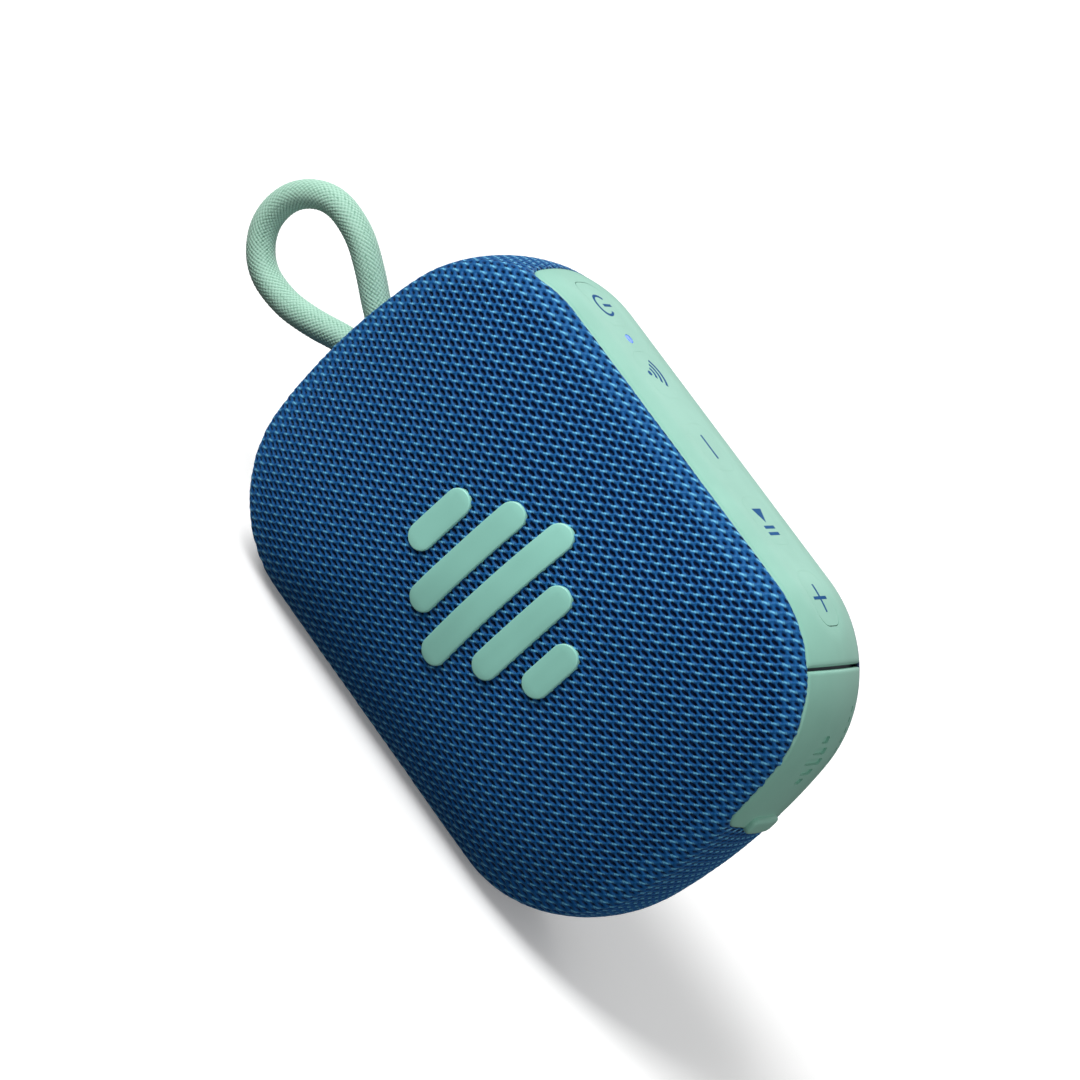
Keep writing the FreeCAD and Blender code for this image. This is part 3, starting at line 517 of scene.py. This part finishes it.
def makeRopeFinish():
    material, tree, shader = startMaterial("mintBraid", Sheen_Weight=0.3, Sheen_Roughness=0.5, Roughness=0.78)
    depth = tree.nodes.new("ShaderNodeAttribute")
    depth.attribute_name = "crevice"
    fibre = addGroup(tree, fibreGroup, Scale=9000.0)
    tree.links.new(depth.outputs["Fac"], fibre.inputs["Depth"])
    lit = mixNode(tree, fibre.outputs["Tone"], tint(*rope["lit"]), tint(*rope["pale"]))
    # painted shade: the braid is coloured darker in its crevices
    shade = rangeNode(tree, depth.outputs["Fac"], 0.2, 0.75, 0.0, 1.0)
    tree.links.new(mixNode(tree, shade, lit, tint(*rope["crevice"])), shader.inputs["Base Color"])
    tree.links.new(bumpNode(tree, fibre.outputs["Height"], 0.35, 0.0001), shader.inputs["Normal"])
    return material


makeRope()


# knitted cover: a lattice of six-sided eyes, wrapped over the bulge and round the band

knit = {"pitch": 1.94, "row": 0.925, "eye": (0.69, 0.35), "floor": (0.59, 0.29), "lean": 0.22, "slope": 0.16,
        "pit": 0.3, "crest": 0.2, "uneven": 0.03, "tuck": 0.4, "hem": 0.25, "farEdge": 8.5,
        "clear": 0.05, "tuckOver": 0.6, "under": 0.9, "beside": 0.4, "fade": 1.2, "soften": 3.2, "spare": 4,
        # the colour for the slanting strokes below is a painted highlight along the yarn
        "dark": (16, 72, 128), "light": (28, 100, 164), "strokeHighlight": (118, 200, 238),
        # painted shade: the wall colour darkens the sides of each eye and the hole colour its floor
        "wallShade": (4, 46, 104), "hole": (1, 14, 52)}
stripShape = {"low": (-38.05, -10.35), "high": (71.45, 10.35), "corner": 3.0}
bezelShape = {"halfRun": 8.4, "halfY": 4.6, "corner": 4.5}


rooms = [(stripShape["low"], stripShape["high"], stripShape["corner"]),
         ((-quarterRun - bezelShape["halfRun"], -bezelShape["halfY"]),
          (-quarterRun + bezelShape["halfRun"], bezelShape["halfY"]), bezelShape["corner"])]


def latticeForm(halfX, halfZ):  # flat lattice of eyes in the x-z plane; y holds the height of the yarn
    tile = bmesh.new()
    pit = tile.verts.layers.float.new("pit")
    done = set()
    for offset in (Vector((0, 0, 0)), Vector((knit["pitch"] / 2, 0, knit["row"]))):
        made = bmesh.ops.create_circle(tile, cap_ends=True, radius=1.0, segments=6)["verts"]
        turned = Matrix.Rotation(math.radians(90), 4, "X")
        if max(abs(vertex.co.x) for vertex in made) > 0.95:  # a point must be at the top
            turned = turned @ Matrix.Rotation(math.radians(30), 4, "Z")
        bmesh.ops.transform(tile, matrix=turned, verts=made)
        bmesh.ops.scale(tile, vec=(knit["pitch"] / math.sqrt(3), 1, knit["row"] / 1.5), verts=made)
        bmesh.ops.translate(tile, vec=(0, knit["crest"], 0), verts=made)
        cell = made[0].link_faces[0]
        # depth, kept in pit, tells how far down the eye a corner lies; the finish paints shade from it
        for size, height, depth in (("eye", 0.45, 0.35), ("floor", None, 1.0)):
            bmesh.ops.inset_individual(tile, faces=[cell], thickness=0.1)
            wide, tall = knit[size]
            for corner in cell.verts:
                sway = 1 if corner.co.x > 0 else -1
                flat = abs(corner.co.x) < 0.01
                rise = 1 if corner.co.z > 0 else -1
                corner.co.x = wide * (knit["lean"] * rise if flat else sway)
                corner.co.z = tall * (rise if flat else (0.5 * rise + knit["slope"] * sway))
                corner.co.y = knit["crest"] * height if height else -knit["pit"]
                corner[pit] = depth
        bmesh.ops.translate(tile, vec=offset, verts=[vertex for vertex in tile.verts if vertex not in done])
        done = set(tile.verts)
    tileObject = place("knitTile", meshFrom(tile, "knitTile"))
    for axis, step, half in ((0, knit["pitch"], halfX), (2, 2 * knit["row"], halfZ)):
        repeat = tileObject.modifiers.new("repeat", "ARRAY")
        repeat.use_relative_offset = False
        repeat.use_constant_offset = True
        repeat.constant_offset_displace = [step if index == axis else 0 for index in range(3)]
        repeat.count = 2 * round(half / step) + 1
    form = bmesh.new()
    form.from_object(tileObject, bpy.context.evaluated_depsgraph_get())
    bpy.data.objects.remove(tileObject)
    bmesh.ops.translate(form, verts=form.verts, vec=(-round(halfX / knit["pitch"]) * knit["pitch"], 0,
                                                     -round(halfZ / knit["row"] / 2) * 2 * knit["row"]))
    bmesh.ops.remove_doubles(form, verts=form.verts, dist=0.02)
    return form


def tucked(run, y):  # moves a place out from under the strip, cover and bezel
    lift = 0.0
    for low, high, radius in rooms:
        gap, out = roundedGap(run, y, low, high, radius)
        short = knit["clear"] - gap
        if short > 0:
            lift = -knit["tuck"] * min(1.0, short / knit["tuckOver"])
            run, y = run + out[0] * short, y + out[1] * short
    return run, y, lift


def clothPoint(x, z, side):
    gap, run = outlineNear(x, z)
    if side > 0 and gap > -knit["hem"]:  # the rear cloth ends in the welt
        spot, out = outlineAt(run)
        return Vector((spot[0] - out[0] * knit["hem"], bandHalf, spot[1] - out[1] * knit["hem"]))
    if gap <= 0:
        return Vector((x, side * domeDepth(x, z), z))
    run, y, lift = tucked(run, side * (bandHalf - min(gap, 2 * bandHalf - knit["clear"])))
    if abs(y) > bandHalf:
        spot, out = outlineAt(run)
        return Vector((spot[0] + out[0] * lift, y, spot[1] + out[1] * lift))
    return bandPoint(run, y, lift)


def deepInside(x, z, side, limit):  # a cell that the strip, the cover or the bezel hides, or past the edge
    gap, run = outlineNear(x, z)
    if gap > limit:
        return True
    y = side * (bandHalf - gap)
    over = min(roundedGap(run, y, low, high, radius)[0] for low, high, radius in rooms)
    return gap > 0 and (over < -knit["under"] or (over < knit["beside"] and y > knit["farEdge"]))


def roomFade(gap, run):  # the front cloth lies flatter beside the strip and the bezel
    far = min(roundedGap(run, gap - bandHalf, low, high, radius)[0] for low, high, radius in rooms)
    return min(1.0, max(0.3, far / knit["fade"]), max(0.1, (2 * bandHalf - gap) / knit["fade"]))


def nearestEye(x, z):
    spots = []
    for shift in (0.0, 0.5):
        across, up = x / knit["pitch"] - shift, z / knit["row"] / 2 - shift
        spot = ((round(across) + shift) * knit["pitch"], (round(up) + shift) * 2 * knit["row"])
        spots.append((math.hypot(x - spot[0], (z - spot[1]) * math.sqrt(3)), spot))
    return min(spots)[1]


def makeKnit(name, node, side, limit):
    random.seed(11)
    spare = knit["spare"] + max(limit, 1)
    form = latticeForm(bodyShape["halfWidth"] + spare, bodyShape["halfHeight"] + spare)
    pit = form.verts.layers.float["pit"]
    hidden = []
    for face in form.faces:
        middle = face.calc_center_median()
        if deepInside(*settle(*nearestEye(middle.x, middle.z)), side, limit):
            hidden.append(face)
    bmesh.ops.delete(form, geom=hidden, context="FACES")
    cells = form.loops.layers.uv.new("cells")
    flatArea = sum(face.calc_area() for face in form.faces)
    for face in form.faces:
        for loop in face.loops:
            loop[cells].uv = (loop.vert.co.x / knit["pitch"], loop.vert.co.z / knit["row"] / 2)
    heights = {}
    soften = []
    for vertex in form.verts:
        x, z = settle(vertex.co.x, vertex.co.z)
        gap, run = outlineNear(x, z)
        near = min(1.0, max(0.0, (-knit["hem"] - gap) / knit["fade"])) if side > 0 else roomFade(gap, run)
        jitter = random.uniform(-1, 1) * knit["uneven"] if vertex[pit] == 0 else 0.0
        heights[vertex] = (vertex.co.y + jitter) * near
        vertex.co = clothPoint(x, z, side)
        if abs(gap) < knit["soften"] and not vertex.is_boundary:
            soften.append(vertex)
    for turn in range(4):
        bmesh.ops.smooth_vert(form, verts=soften, factor=0.4, use_axis_x=True, use_axis_y=True,
                              use_axis_z=True)
    bmesh.ops.recalc_face_normals(form, faces=form.faces)
    outermost = max(form.faces, key=lambda face: side * face.calc_center_median().y)
    if outermost.normal.y * side < 0:
        bmesh.ops.reverse_faces(form, faces=form.faces)
    form.normal_update()
    for vertex in form.verts:
        vertex.co += vertex.normal * heights[vertex]
    piece = finishPiece(name, form, "enclosure", knitFinish, 180.0)
    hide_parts(node)


# the slanting strokes of yarn between neighbouring eyes of a knit, where a highlight is painted, and the
# brightness of that painted highlight in each row
def makeStrokes():
    group, ins, outs = newGroup("strokes", [("Across", 0.0), ("Up", 0.0)], ["Stroke", "Row"])
    across, up = ins.outputs["Across"], ins.outputs["Up"]
    slant = [mathNode(group, "SUBTRACT", mathNode(group, "FRACT", mathNode(group, way, across, up), 0.0), 0.5)
             for way in ("ADD", "SUBTRACT")]
    wave = mathNode(group, "COSINE", mathNode(group, "MULTIPLY", up, 2 * math.pi), 0.0)
    # the strokes lean left and right, row by row
    lean = mathNode(group, "MULTIPLY", mathNode(group, "MULTIPLY", wave, 0.31), slant[0])
    crossing = mathNode(group, "MULTIPLY", slant[1], 0.95)
    aside = mathNode(group, "ABSOLUTE", mathNode(group, "SUBTRACT", crossing, lean), 0.0)
    along = mathNode(group, "ABSOLUTE", slant[0], 0.0)
    narrow = rangeNode(group, aside, 0.04, 0.17, 1.0, 0.0)
    short = rangeNode(group, along, 0.4, 0.5, 1.0, 0.0)
    group.links.new(mathNode(group, "MULTIPLY", narrow, short), outs.inputs["Stroke"])
    group.links.new(rangeNode(group, wave, -1.0, 1.0, 0.0, 1.0), outs.inputs["Row"])
    return group


def makeKnitFinish():
    material, tree, shader = startMaterial("blueKnit", Sheen_Weight=0.5, Sheen_Roughness=0.3, Roughness=0.5,
                                           Specular_IOR_Level=0.35)
    shader.inputs["Sheen Tint"].default_value = tint(140, 205, 245)
    shader.inputs["Specular Tint"].default_value = tint(150, 210, 255)
    pit = tree.nodes.new("ShaderNodeAttribute")
    pit.attribute_name = "pit"
    where = tree.nodes.new("ShaderNodeUVMap")
    where.uv_map = "cells"
    parts = tree.nodes.new("ShaderNodeSeparateXYZ")
    tree.links.new(where.outputs["UV"], parts.inputs[0])
    strokes = addGroup(tree, makeStrokes())
    tree.links.new(parts.outputs["X"], strokes.inputs["Across"])
    tree.links.new(parts.outputs["Y"], strokes.inputs["Up"])
    fibre = addGroup(tree, fibreGroup, Scale=7000.0)
    tree.links.new(pit.outputs["Fac"], fibre.inputs["Depth"])
    base = mixNode(tree, fibre.outputs["Tone"], tint(*knit["dark"]), tint(*knit["light"]))
    # painted highlight: the slanting strokes, dimmer in every other row, are mixed towards the pale highlight
    # colour
    level = mathNode(tree, "MULTIPLY", strokes.outputs["Stroke"],
                     rangeNode(tree, strokes.outputs["Row"], 0.3, 1.0, 0.0, 1.0))
    bright = mixNode(tree, level, base, tint(*knit["strokeHighlight"]))
    # painted shade: the yarn darkens down each eye's wall and is darkest on the eye's floor
    crest = rangeNode(tree, pit.outputs["Fac"], 0.1, 0.5, 0.0, 0.8)
    yarn = mixNode(tree, crest, bright, tint(*knit["wallShade"]))
    deep = rangeNode(tree, pit.outputs["Fac"], 0.4, 0.8, 0.0, 1.0)
    tree.links.new(mixNode(tree, deep, yarn, tint(*knit["hole"])), shader.inputs["Base Color"])
    hairs = mathNode(tree, "MULTIPLY", fibre.outputs["Height"], 0.35)
    height = mathNode(tree, "ADD", hairs, strokes.outputs["Stroke"])
    tree.links.new(bumpNode(tree, height, 0.5, 0.00012), shader.inputs["Normal"])
    return material


knitFinish = makeKnitFinish()
makeKnit("frontKnit", "front_fabric", -1, 2 * bandHalf - 0.1)
makeKnit("rearKnit", "rear_fabric", 1, 0.2)


# rubber strip with its keys, drawn flat along the outline and bent onto the band

plateau = {"end": 31.5, "half": 5.7, "sink": 0.33, "soften": 2.4}
strip = {"low": (-38.05, -10.35), "high": (41.6, 10.35), "thick": 1.0, "corner": 3.0, "edge": 0.5}
keys = {"names": ["power", "pairing", "volume_down", "play", "volume_up"], "pitch": 14.9, "middle": 0.9,
        "size": (9.6, 7.6), "corner": 2.6, "gap": 0.02, "ease": 0.13, "cut": (2.0, -3.0)}


def skinLift(run, y):  # the strip's long oval top lies a little below the band's crown
    past = max(abs(run) - plateau["end"], 0.0)
    inside = plateau["half"] - math.hypot(past, y)
    return -plateau["sink"] * (1 - math.exp(-max(inside, 0.0) / plateau["soften"]))


def flatPlate(low, high, top, bottom, corners, radius, edge=0.0, step=0.0):
    form = bmesh.new()
    bmesh.ops.create_grid(form, x_segments=1, y_segments=1, size=0.5)
    bmesh.ops.scale(form, vec=(high[0] - low[0], high[1] - low[1], 1), verts=form.verts)
    bmesh.ops.translate(form, vec=((low[0] + high[0]) / 2, (low[1] + high[1]) / 2, top), verts=form.verts)
    rounded = [vertex for vertex in form.verts
               if (vertex.co.x < (low[0] + high[0]) / 2 and "left" in corners)
               or (vertex.co.x > (low[0] + high[0]) / 2 and "right" in corners)]
    if rounded:
        bmesh.ops.bevel(form, geom=rounded, offset=radius, offset_type="OFFSET", segments=8, profile=0.5,
                        affect="VERTICES", material=-1)
    grown = bmesh.ops.extrude_face_region(form, geom=form.faces[:])["geom"]
    moved = [item for item in grown if isinstance(item, bmesh.types.BMVert)]
    bmesh.ops.translate(form, vec=(0, 0, bottom - top), verts=moved)
    bmesh.ops.recalc_face_normals(form, faces=form.faces)
    if edge:
        square = [end for end, side in ((low[0], "left"), (high[0], "right")) if side not in corners]
        roundEdges(form, [item for item in form.edges if edgeAt(item, 2, top)
                          and not any(edgeAt(item, 0, end) for end in square)], edge)
    if step:
        sliceForm(form, step)
    return form


def sliceForm(form, step):  # cuts across both ways, so that a flat piece can bend
    for axis in (0, 1):
        ends = [vertex.co[axis] for vertex in form.verts]
        count = math.ceil((max(ends) - min(ends)) / step)
        for index in range(1, count):
            at = [0, 0, 0]
            at[axis] = min(ends) + (max(ends) - min(ends)) * index / count
            normal = [0, 0, 0]
            normal[axis] = 1
            bmesh.ops.bisect_plane(form, geom=form.verts[:] + form.edges[:] + form.faces[:], dist=1e-5,
                                   plane_co=at, plane_no=normal)


def carve(form, cutters, operation):  # joins or cuts closed forms, as the editor's Boolean does
    target = place("carved", meshFrom(form, "carved"))
    helpers = []
    for cutter in cutters:
        helper = place("cutter", meshFrom(cutter, "cutter"))
        helpers.append(helper)
        change = target.modifiers.new("carve", "BOOLEAN")
        change.operation = operation
        change.solver = "EXACT"
        change.object = helper
    carved = bmesh.new()
    carved.from_object(target, bpy.context.evaluated_depsgraph_get())
    for helper in helpers + [target]:
        bpy.data.objects.remove(helper)
    return carved


def bend(form, lift=skinLift):  # (run, y, height) to the band's surface
    for vertex in form.verts:
        run, y, height = vertex.co
        vertex.co = bandPoint(run, y, lift(run, y) + height)
    bmesh.ops.recalc_face_normals(form, faces=form.faces)
    return form


def keyRun(index):
    return keys["middle"] + (index - 2) * keys["pitch"]


# ease leaves room on the bend, where a key goes straight down
def keyPlate(index, grow, ease, top, bottom, step):
    halfRun, halfY = keys["size"][0] / 2 + grow, keys["size"][1] / 2 + grow
    low = keyRun(index) - halfRun - (ease if index == 0 else 0)
    high = keyRun(index) + halfRun + (ease if index == len(keys["names"]) - 1 else 0)
    return flatPlate((low, -halfY), (high, halfY), top, bottom, ("left", "right"), keys["corner"] + grow,
                     0.0, step)


def makeStrip():
    slab = flatPlate(strip["low"], strip["high"], 0.0, -strip["thick"], ("left",), strip["corner"],
                     strip["edge"], 1.0)
    holes = [keyPlate(index, keys["gap"], keys["ease"], *keys["cut"], 0.0)
             for index in range(len(keys["names"]))]
    lightHole = bmesh.new()
    bmesh.ops.create_cone(lightHole, cap_ends=True, segments=32, radius1=statusLight["hole"],
                          radius2=statusLight["hole"], depth=statusLight["depth"],
                          matrix=Matrix.Translation((statusLight["run"], statusLight["y"], 0)))
    slab = carve(slab, holes + [lightHole], "DIFFERENCE")
    piece = finishPiece("controlStrip", bend(slab), "enclosure", materials["mint_rubber"])
    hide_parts("control_strip")
    for index, name in enumerate(keys["names"]):
        cap = bend(keyPlate(index, 0.0, 0.0, 0.0, -strip["thick"], 1.0))
        piece = finishPiece(name + "Cap", cap, name + "_key", materials["mint_rubber"])
        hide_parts(name + "_key")
    print("control strip and", len(keys["names"]), "key caps")


# status light, flush in the strip

statusLight = {"run": -21.45, "y": 0.0, "radius": 0.9, "hole": 0.93, "depth": 6.0, "edge": 0.15, "glow": 0.35,
               "dark": (58, 112, 252), "light": (74, 128, 255)}


def makeStatusLight():
    form = bmesh.new()
    bmesh.ops.create_cone(form, cap_ends=True, segments=32, radius1=statusLight["radius"],
                          radius2=statusLight["radius"], depth=statusLight["depth"])
    bmesh.ops.translate(form, vec=(statusLight["run"], statusLight["y"], -statusLight["depth"] / 2),
                        verts=form.verts)
    roundEdges(form, [edge for edge in form.edges if edgeAt(edge, 2, 0.0)], statusLight["edge"])
    material, tree, shader = startMaterial("statusGlow", Roughness=0.25)
    grain = addGroup(tree, grainGroup, Scale=2600.0)
    colour = mixNode(tree, grain.outputs["Tone"], tint(*statusLight["dark"]), tint(*statusLight["light"]))
    tree.links.new(colour, shader.inputs["Base Color"])
    tree.links.new(colour, shader.inputs["Emission Color"])
    shader.inputs["Emission Strength"].default_value = statusLight["glow"]
    piece = finishPiece("statusLight", bend(form), "enclosure", material)
    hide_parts("status_light_pipe")


makeStrip()
makeStatusLight()


# printed key signs: thin raised ink

ink = {"height": 0.03, "sink": 0.06, "line": 0.52, "y": -0.25, "bar": 2.4, "ring": 2.05,
       "ringTurn": (40, 320), "stem": 1.35, "dot": 0.5, "dotDrop": 1.7, "arcs": (1.5, 2.7, 3.9),
       "arcTurn": 42, "triangle": 1.95, "pauseRuns": (17.1, 18.4), "pauseHalf": (0.3, 1.85)}


def flatBar(run, y, halfRun, halfY):
    return flatPlate((run - halfRun, y - halfY), (run + halfRun, y + halfY), ink["height"], -ink["sink"],
                     (), 0.0, 0.0, 0.8)


def flatArc(run, y, radius, fromTurn, toTurn, width):  # angles in degrees from the +y way
    form = bmesh.new()
    ends = [form.verts.new((radius + side * width / 2, 0, 0)) for side in (-1, 1)]
    line = form.edges.new(ends)
    bmesh.ops.spin(form, geom=ends + [line], angle=math.radians(toTurn - fromTurn), steps=24, axis=(0, 0, 1),
                   cent=(0, 0, 0), dvec=(0, 0, 0))
    bmesh.ops.rotate(form, cent=(0, 0, 0), verts=form.verts,
                     matrix=Matrix.Rotation(math.radians(90 + fromTurn), 3, "Z"))
    grown = bmesh.ops.extrude_face_region(form, geom=form.faces[:])["geom"]
    bmesh.ops.translate(form, vec=(0, 0, ink["height"] + ink["sink"]),
                        verts=[item for item in grown if isinstance(item, bmesh.types.BMVert)])
    bmesh.ops.translate(form, vec=(run, y, -ink["sink"]), verts=form.verts)
    return form


def flatShape(run, y, radius, segments, stretch=1.0, turn=0.0):
    form = bmesh.new()
    bmesh.ops.create_cone(form, cap_ends=True, segments=segments, radius1=radius, radius2=radius,
                          depth=ink["height"] + ink["sink"])
    bmesh.ops.rotate(form, cent=(0, 0, 0), verts=form.verts,
                     matrix=Matrix.Rotation(math.radians(turn), 3, "Z"))
    bmesh.ops.scale(form, vec=(stretch, 1, 1), verts=form.verts)
    bmesh.ops.translate(form, vec=(run, y, (ink["height"] - ink["sink"]) / 2), verts=form.verts)
    return form


def joinForms(forms):
    whole = bmesh.new()
    for form in forms:
        mesh = meshFrom(form, "part")
        whole.from_mesh(mesh)
        bpy.data.meshes.remove(mesh)
    return whole


def makeSigns():
    y, line, bar = ink["y"], ink["line"], ink["bar"]
    powerRun, pairRun, upRun = keyRun(0) + 0.5, keyRun(1) - 0.3, keyRun(4) + 0.2
    dotY = y - ink["dotDrop"]
    signs = {
        "power": [flatArc(powerRun, y, ink["ring"], *ink["ringTurn"], line),
                  flatBar(powerRun, y + ink["stem"], line / 2, ink["stem"])],
        "pairing": [flatShape(pairRun, dotY, ink["dot"], 20)]
                   + [flatArc(pairRun, dotY, radius, -ink["arcTurn"], ink["arcTurn"], line)
                      for radius in ink["arcs"]],
        "volume_down": [flatBar(keyRun(2) - 0.1, y, bar, line / 2)],
        "play": [flatShape(keyRun(3) - 1.5, y, ink["triangle"], 3, 0.95, -90.0)]
                + [flatBar(run, y, *ink["pauseHalf"]) for run in ink["pauseRuns"]],
        "volume_up": [flatBar(upRun, y, bar, line / 2), flatBar(upRun, y, line / 2, bar)],
    }
    inkMaterial = moulded("blueInk", (16, 84, 142), (12, 76, 132), 0.6, 0.04, Specular_IOR_Level=0.1)
    for name, forms in signs.items():
        piece = finishPiece(name + "Sign", bend(joinForms(forms)), name + "_key", inkMaterial)
    print("key signs:", len(signs))


makeSigns()


# port cover: a rubber flap with a thumb tab, plain sunk bars and dashes, and a sealing rim inside

cover = {"low": (42.1, -10.35), "high": (71.45, 10.35), "thick": 1.05, "corner": 3.0, "edge": 0.5,
         "tabLow": (68.7, -4.4), "tabHigh": (71.9, 4.6), "tabRise": 0.95,
         "tabCorner": 1.2, "tabEdge": 0.55,
         "bars": [2.4, 4.4, 5.8, 3.8, 2.2], "barRuns": (53.0, 1.95), "barHalf": 0.62, "barY": -0.6,
         "barCorner": 0.45, "dashes": 7, "dashRuns": (48.6, 1.75), "dashY": 7.6, "dashHalf": (0.5, 0.3),
         "dashCorner": 0.18, "groove": 0.45, "rimLow": (58.0, -4.2), "rimHigh": (69.2, 4.2), "rimEnd": -2.6,
         "hollowLow": (58.8, -3.4), "hollowHigh": (68.4, 3.4), "bendRuns": (0.2, 7.0)}


def makeCover():
    flap = flatPlate(cover["low"], cover["high"], 0.0, -cover["thick"], ("right",), cover["corner"],
                     cover["edge"], 0.8)
    tab = flatPlate(cover["tabLow"], cover["tabHigh"], cover["tabRise"], -cover["thick"] + 0.1,
                    ("left", "right"), cover["tabCorner"], cover["tabEdge"], 0.6)
    flap = carve(flap, [tab], "UNION")
    grooves = []
    for index, half in enumerate(cover["bars"]):
        run = cover["barRuns"][0] + index * cover["barRuns"][1]
        grooves.append(flatPlate((run - cover["barHalf"], cover["barY"] - half / 2),
                                 (run + cover["barHalf"], cover["barY"] + half / 2), 1.0, -cover["groove"],
                                 ("left", "right"), cover["barCorner"]))
    for index in range(cover["dashes"]):
        run = cover["dashRuns"][0] + index * cover["dashRuns"][1]
        halfRun, halfY = cover["dashHalf"]
        grooves.append(flatPlate((run - halfRun, cover["dashY"] - halfY),
                                 (run + halfRun, cover["dashY"] + halfY), 1.0, -cover["groove"],
                                 ("left", "right"), cover["dashCorner"]))
    flap = carve(flap, grooves, "DIFFERENCE")
    rim = flatPlate(cover["rimLow"], cover["rimHigh"], -cover["thick"] + 0.1, cover["rimEnd"],
                    ("left", "right"), 1.2, 0.0, 1.0)
    hollow = flatPlate(cover["hollowLow"], cover["hollowHigh"], -cover["thick"] - 0.2, -4.0,
                       ("left", "right"), 0.8)
    rim = carve(rim, [hollow], "DIFFERENCE")
    whole = bend(joinForms([flap, rim]), lambda run, y: 0.0)
    piece = finishPiece("portCover", whole, None, materials["mint_rubber"])
    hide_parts("port_cover")
    first, last = [bandPoint(cover["low"][0] + past, 0, 0) * mm + bodyMiddle for past in cover["bendRuns"]]
    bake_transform(piece, "enclosure", "port_cover", start=first, end=last)
    print("port cover")


makeCover()


# emblem: five plain raised bars

emblem = {"heights": [13.0, 25.0, 33.0, 21.0, 11.0], "pitch": 7.6, "width": 4.8, "x": 1.5, "rise": 0.7,
          "sink": 0.5, "edge": 0.22}


def makeEmblem():
    forms = []
    for index, height in enumerate(emblem["heights"]):
        x = emblem["x"] + (index - 2) * emblem["pitch"]
        bar = flatPlate((x - emblem["width"] / 2, -height / 2), (x + emblem["width"] / 2, height / 2),
                        emblem["rise"], -emblem["sink"], ("left", "right"), emblem["width"] / 2 - 0.02,
                        emblem["edge"], 1.6)
        forms.append(bar)
    whole = joinForms(forms)
    for vertex in whole.verts:
        x, z, rise = vertex.co
        vertex.co = Vector((x, -domeDepth(x, z) - rise, z))
    bmesh.ops.recalc_face_normals(whole, faces=whole.faces)
    piece = finishPiece("frontEmblem", whole, "enclosure", materials["mint_plastic"])
    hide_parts("front_badge")
    print("emblem:", len(emblem["heights"]), "bars")


makeEmblem()


# foot, rope bezel and the welt where the two cloths meet

foot = {"half": (28.0, 6.0), "bottom": -36.9, "top": -34.7, "corner": 5.0, "edge": 0.4,
        "rings": (1.2, 0.5, 1.4, 0.5)}
bezel = {"half": (8.4, 4.6), "hole": (6.9, 2.9), "outer": -52.45, "inner": -46.2,
         "corner": 4.5, "holeCorner": 2.7, "cut": (30, 70), "edge": 0.45}
welt = {"y": 10.42, "radius": 0.28, "lift": -0.32, "steps": 240}


def makeFoot():
    form = flatPlate((-foot["half"][0], -foot["half"][1]), foot["half"], foot["top"], foot["bottom"],
                     ("left", "right"), foot["corner"])
    base = min(form.faces, key=lambda face: face.calc_center_median().z)
    roundEdges(form, list(base.edges), foot["edge"])
    base = min(form.faces, key=lambda face: face.calc_center_median().z)
    for wide in foot["rings"]:  # flat rings, which keep the underside's shading even
        bmesh.ops.inset_region(form, faces=[base], thickness=wide, depth=0.0, use_even_offset=True)
    piece = finishPiece("footPad", form, "enclosure", materials["navy_rubber"])
    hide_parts("foot_pad")


def makeBezel():
    form = flatPlate((-bezel["half"][0], -bezel["half"][1]), bezel["half"], -bezel["inner"], -bezel["outer"],
                     ("left", "right"), bezel["corner"])
    hole = flatPlate((-bezel["hole"][0], -bezel["hole"][1]), bezel["hole"], *bezel["cut"], ("left", "right"),
                     bezel["holeCorner"])
    form = carve(form, [hole], "DIFFERENCE")
    top = max(vertex.co.z for vertex in form.verts)
    roundEdges(form, [edge for edge in form.edges if edgeAt(edge, 2, top, 1e-4)
                      and len(edge.link_faces) == 2 and edge.calc_face_angle(0.0) > 1.0], bezel["edge"])
    for vertex in form.verts:
        along, y, height = vertex.co
        vertex.co = Vector((-height, y, along))
    bmesh.ops.recalc_face_normals(form, faces=form.faces)
    piece = finishPiece("ropeBezel", form, "enclosure", materials["navy_plastic"])
    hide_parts("lanyard_bezel")


def makeWelt():
    curve = bpy.data.curves.new("weltLine", "CURVE")
    curve.dimensions = "3D"
    spline = curve.splines.new("POLY")
    spline.points.add(welt["steps"] - 1)
    for index, point in enumerate(spline.points):
        spot, out = outlineAt(-2 * quarterRun + 4 * quarterRun * index / welt["steps"])
        point.co = (spot[0] + out[0] * welt["lift"], welt["y"], spot[1] + out[1] * welt["lift"], 1)
    spline.use_cyclic_u = True
    curve.bevel_depth = welt["radius"]
    curve.bevel_resolution = 2
    line = place("weltLine", curve)
    form = bmesh.new()
    form.from_mesh(bpy.data.meshes.new_from_object(line))
    bpy.data.objects.remove(line)
    bmesh.ops.remove_doubles(form, verts=form.verts, dist=0.001)
    bmesh.ops.recalc_face_normals(form, faces=form.faces)
    piece = finishPiece("seamWelt", form, "enclosure", materials["navy_rubber"], 180.0)


makeFoot()
makeBezel()
makeWelt()
print("foot, bezel and welt")


# finishes of the carried parts

slotOf = {row["node"]: row["material_slot"] for row in frame["record"]["subparts"]}
for name, node in frame["nodes"].items():
    finish = materials.get(slotOf.get(name), materials["shell_plastic"])
    for slot in node.material_slots:
        slot.material = finish
    if not node.material_slots:
        node.data.materials.append(finish)
print("carried parts painted")


# floor

floorMesh = bmesh.new()
bmesh.ops.create_grid(floorMesh, x_segments=1, y_segments=1, size=studio["floorSize"])
floorData = meshFrom(floorMesh, "floor")
floor = place("floor", floorData)
floorMaterial, floorTree, floorShader = startMaterial("paleFloor", Roughness=0.85)
floorGrain = addGroup(floorTree, grainGroup, Scale=300.0)
floorTree.links.new(mixNode(floorTree, floorGrain.outputs["Tone"], tint(*studio["floor"]),
                            tint(*studio["floorTone"])),
                    floorShader.inputs["Base Color"])
floorShader.inputs["Emission Color"].default_value = (1, 1, 1, 1)
floorShader.inputs["Emission Strength"].default_value = studio["floorGlow"]
floorData.materials.append(floorMaterial)
floor.visible_diffuse = False
floor.visible_glossy = False
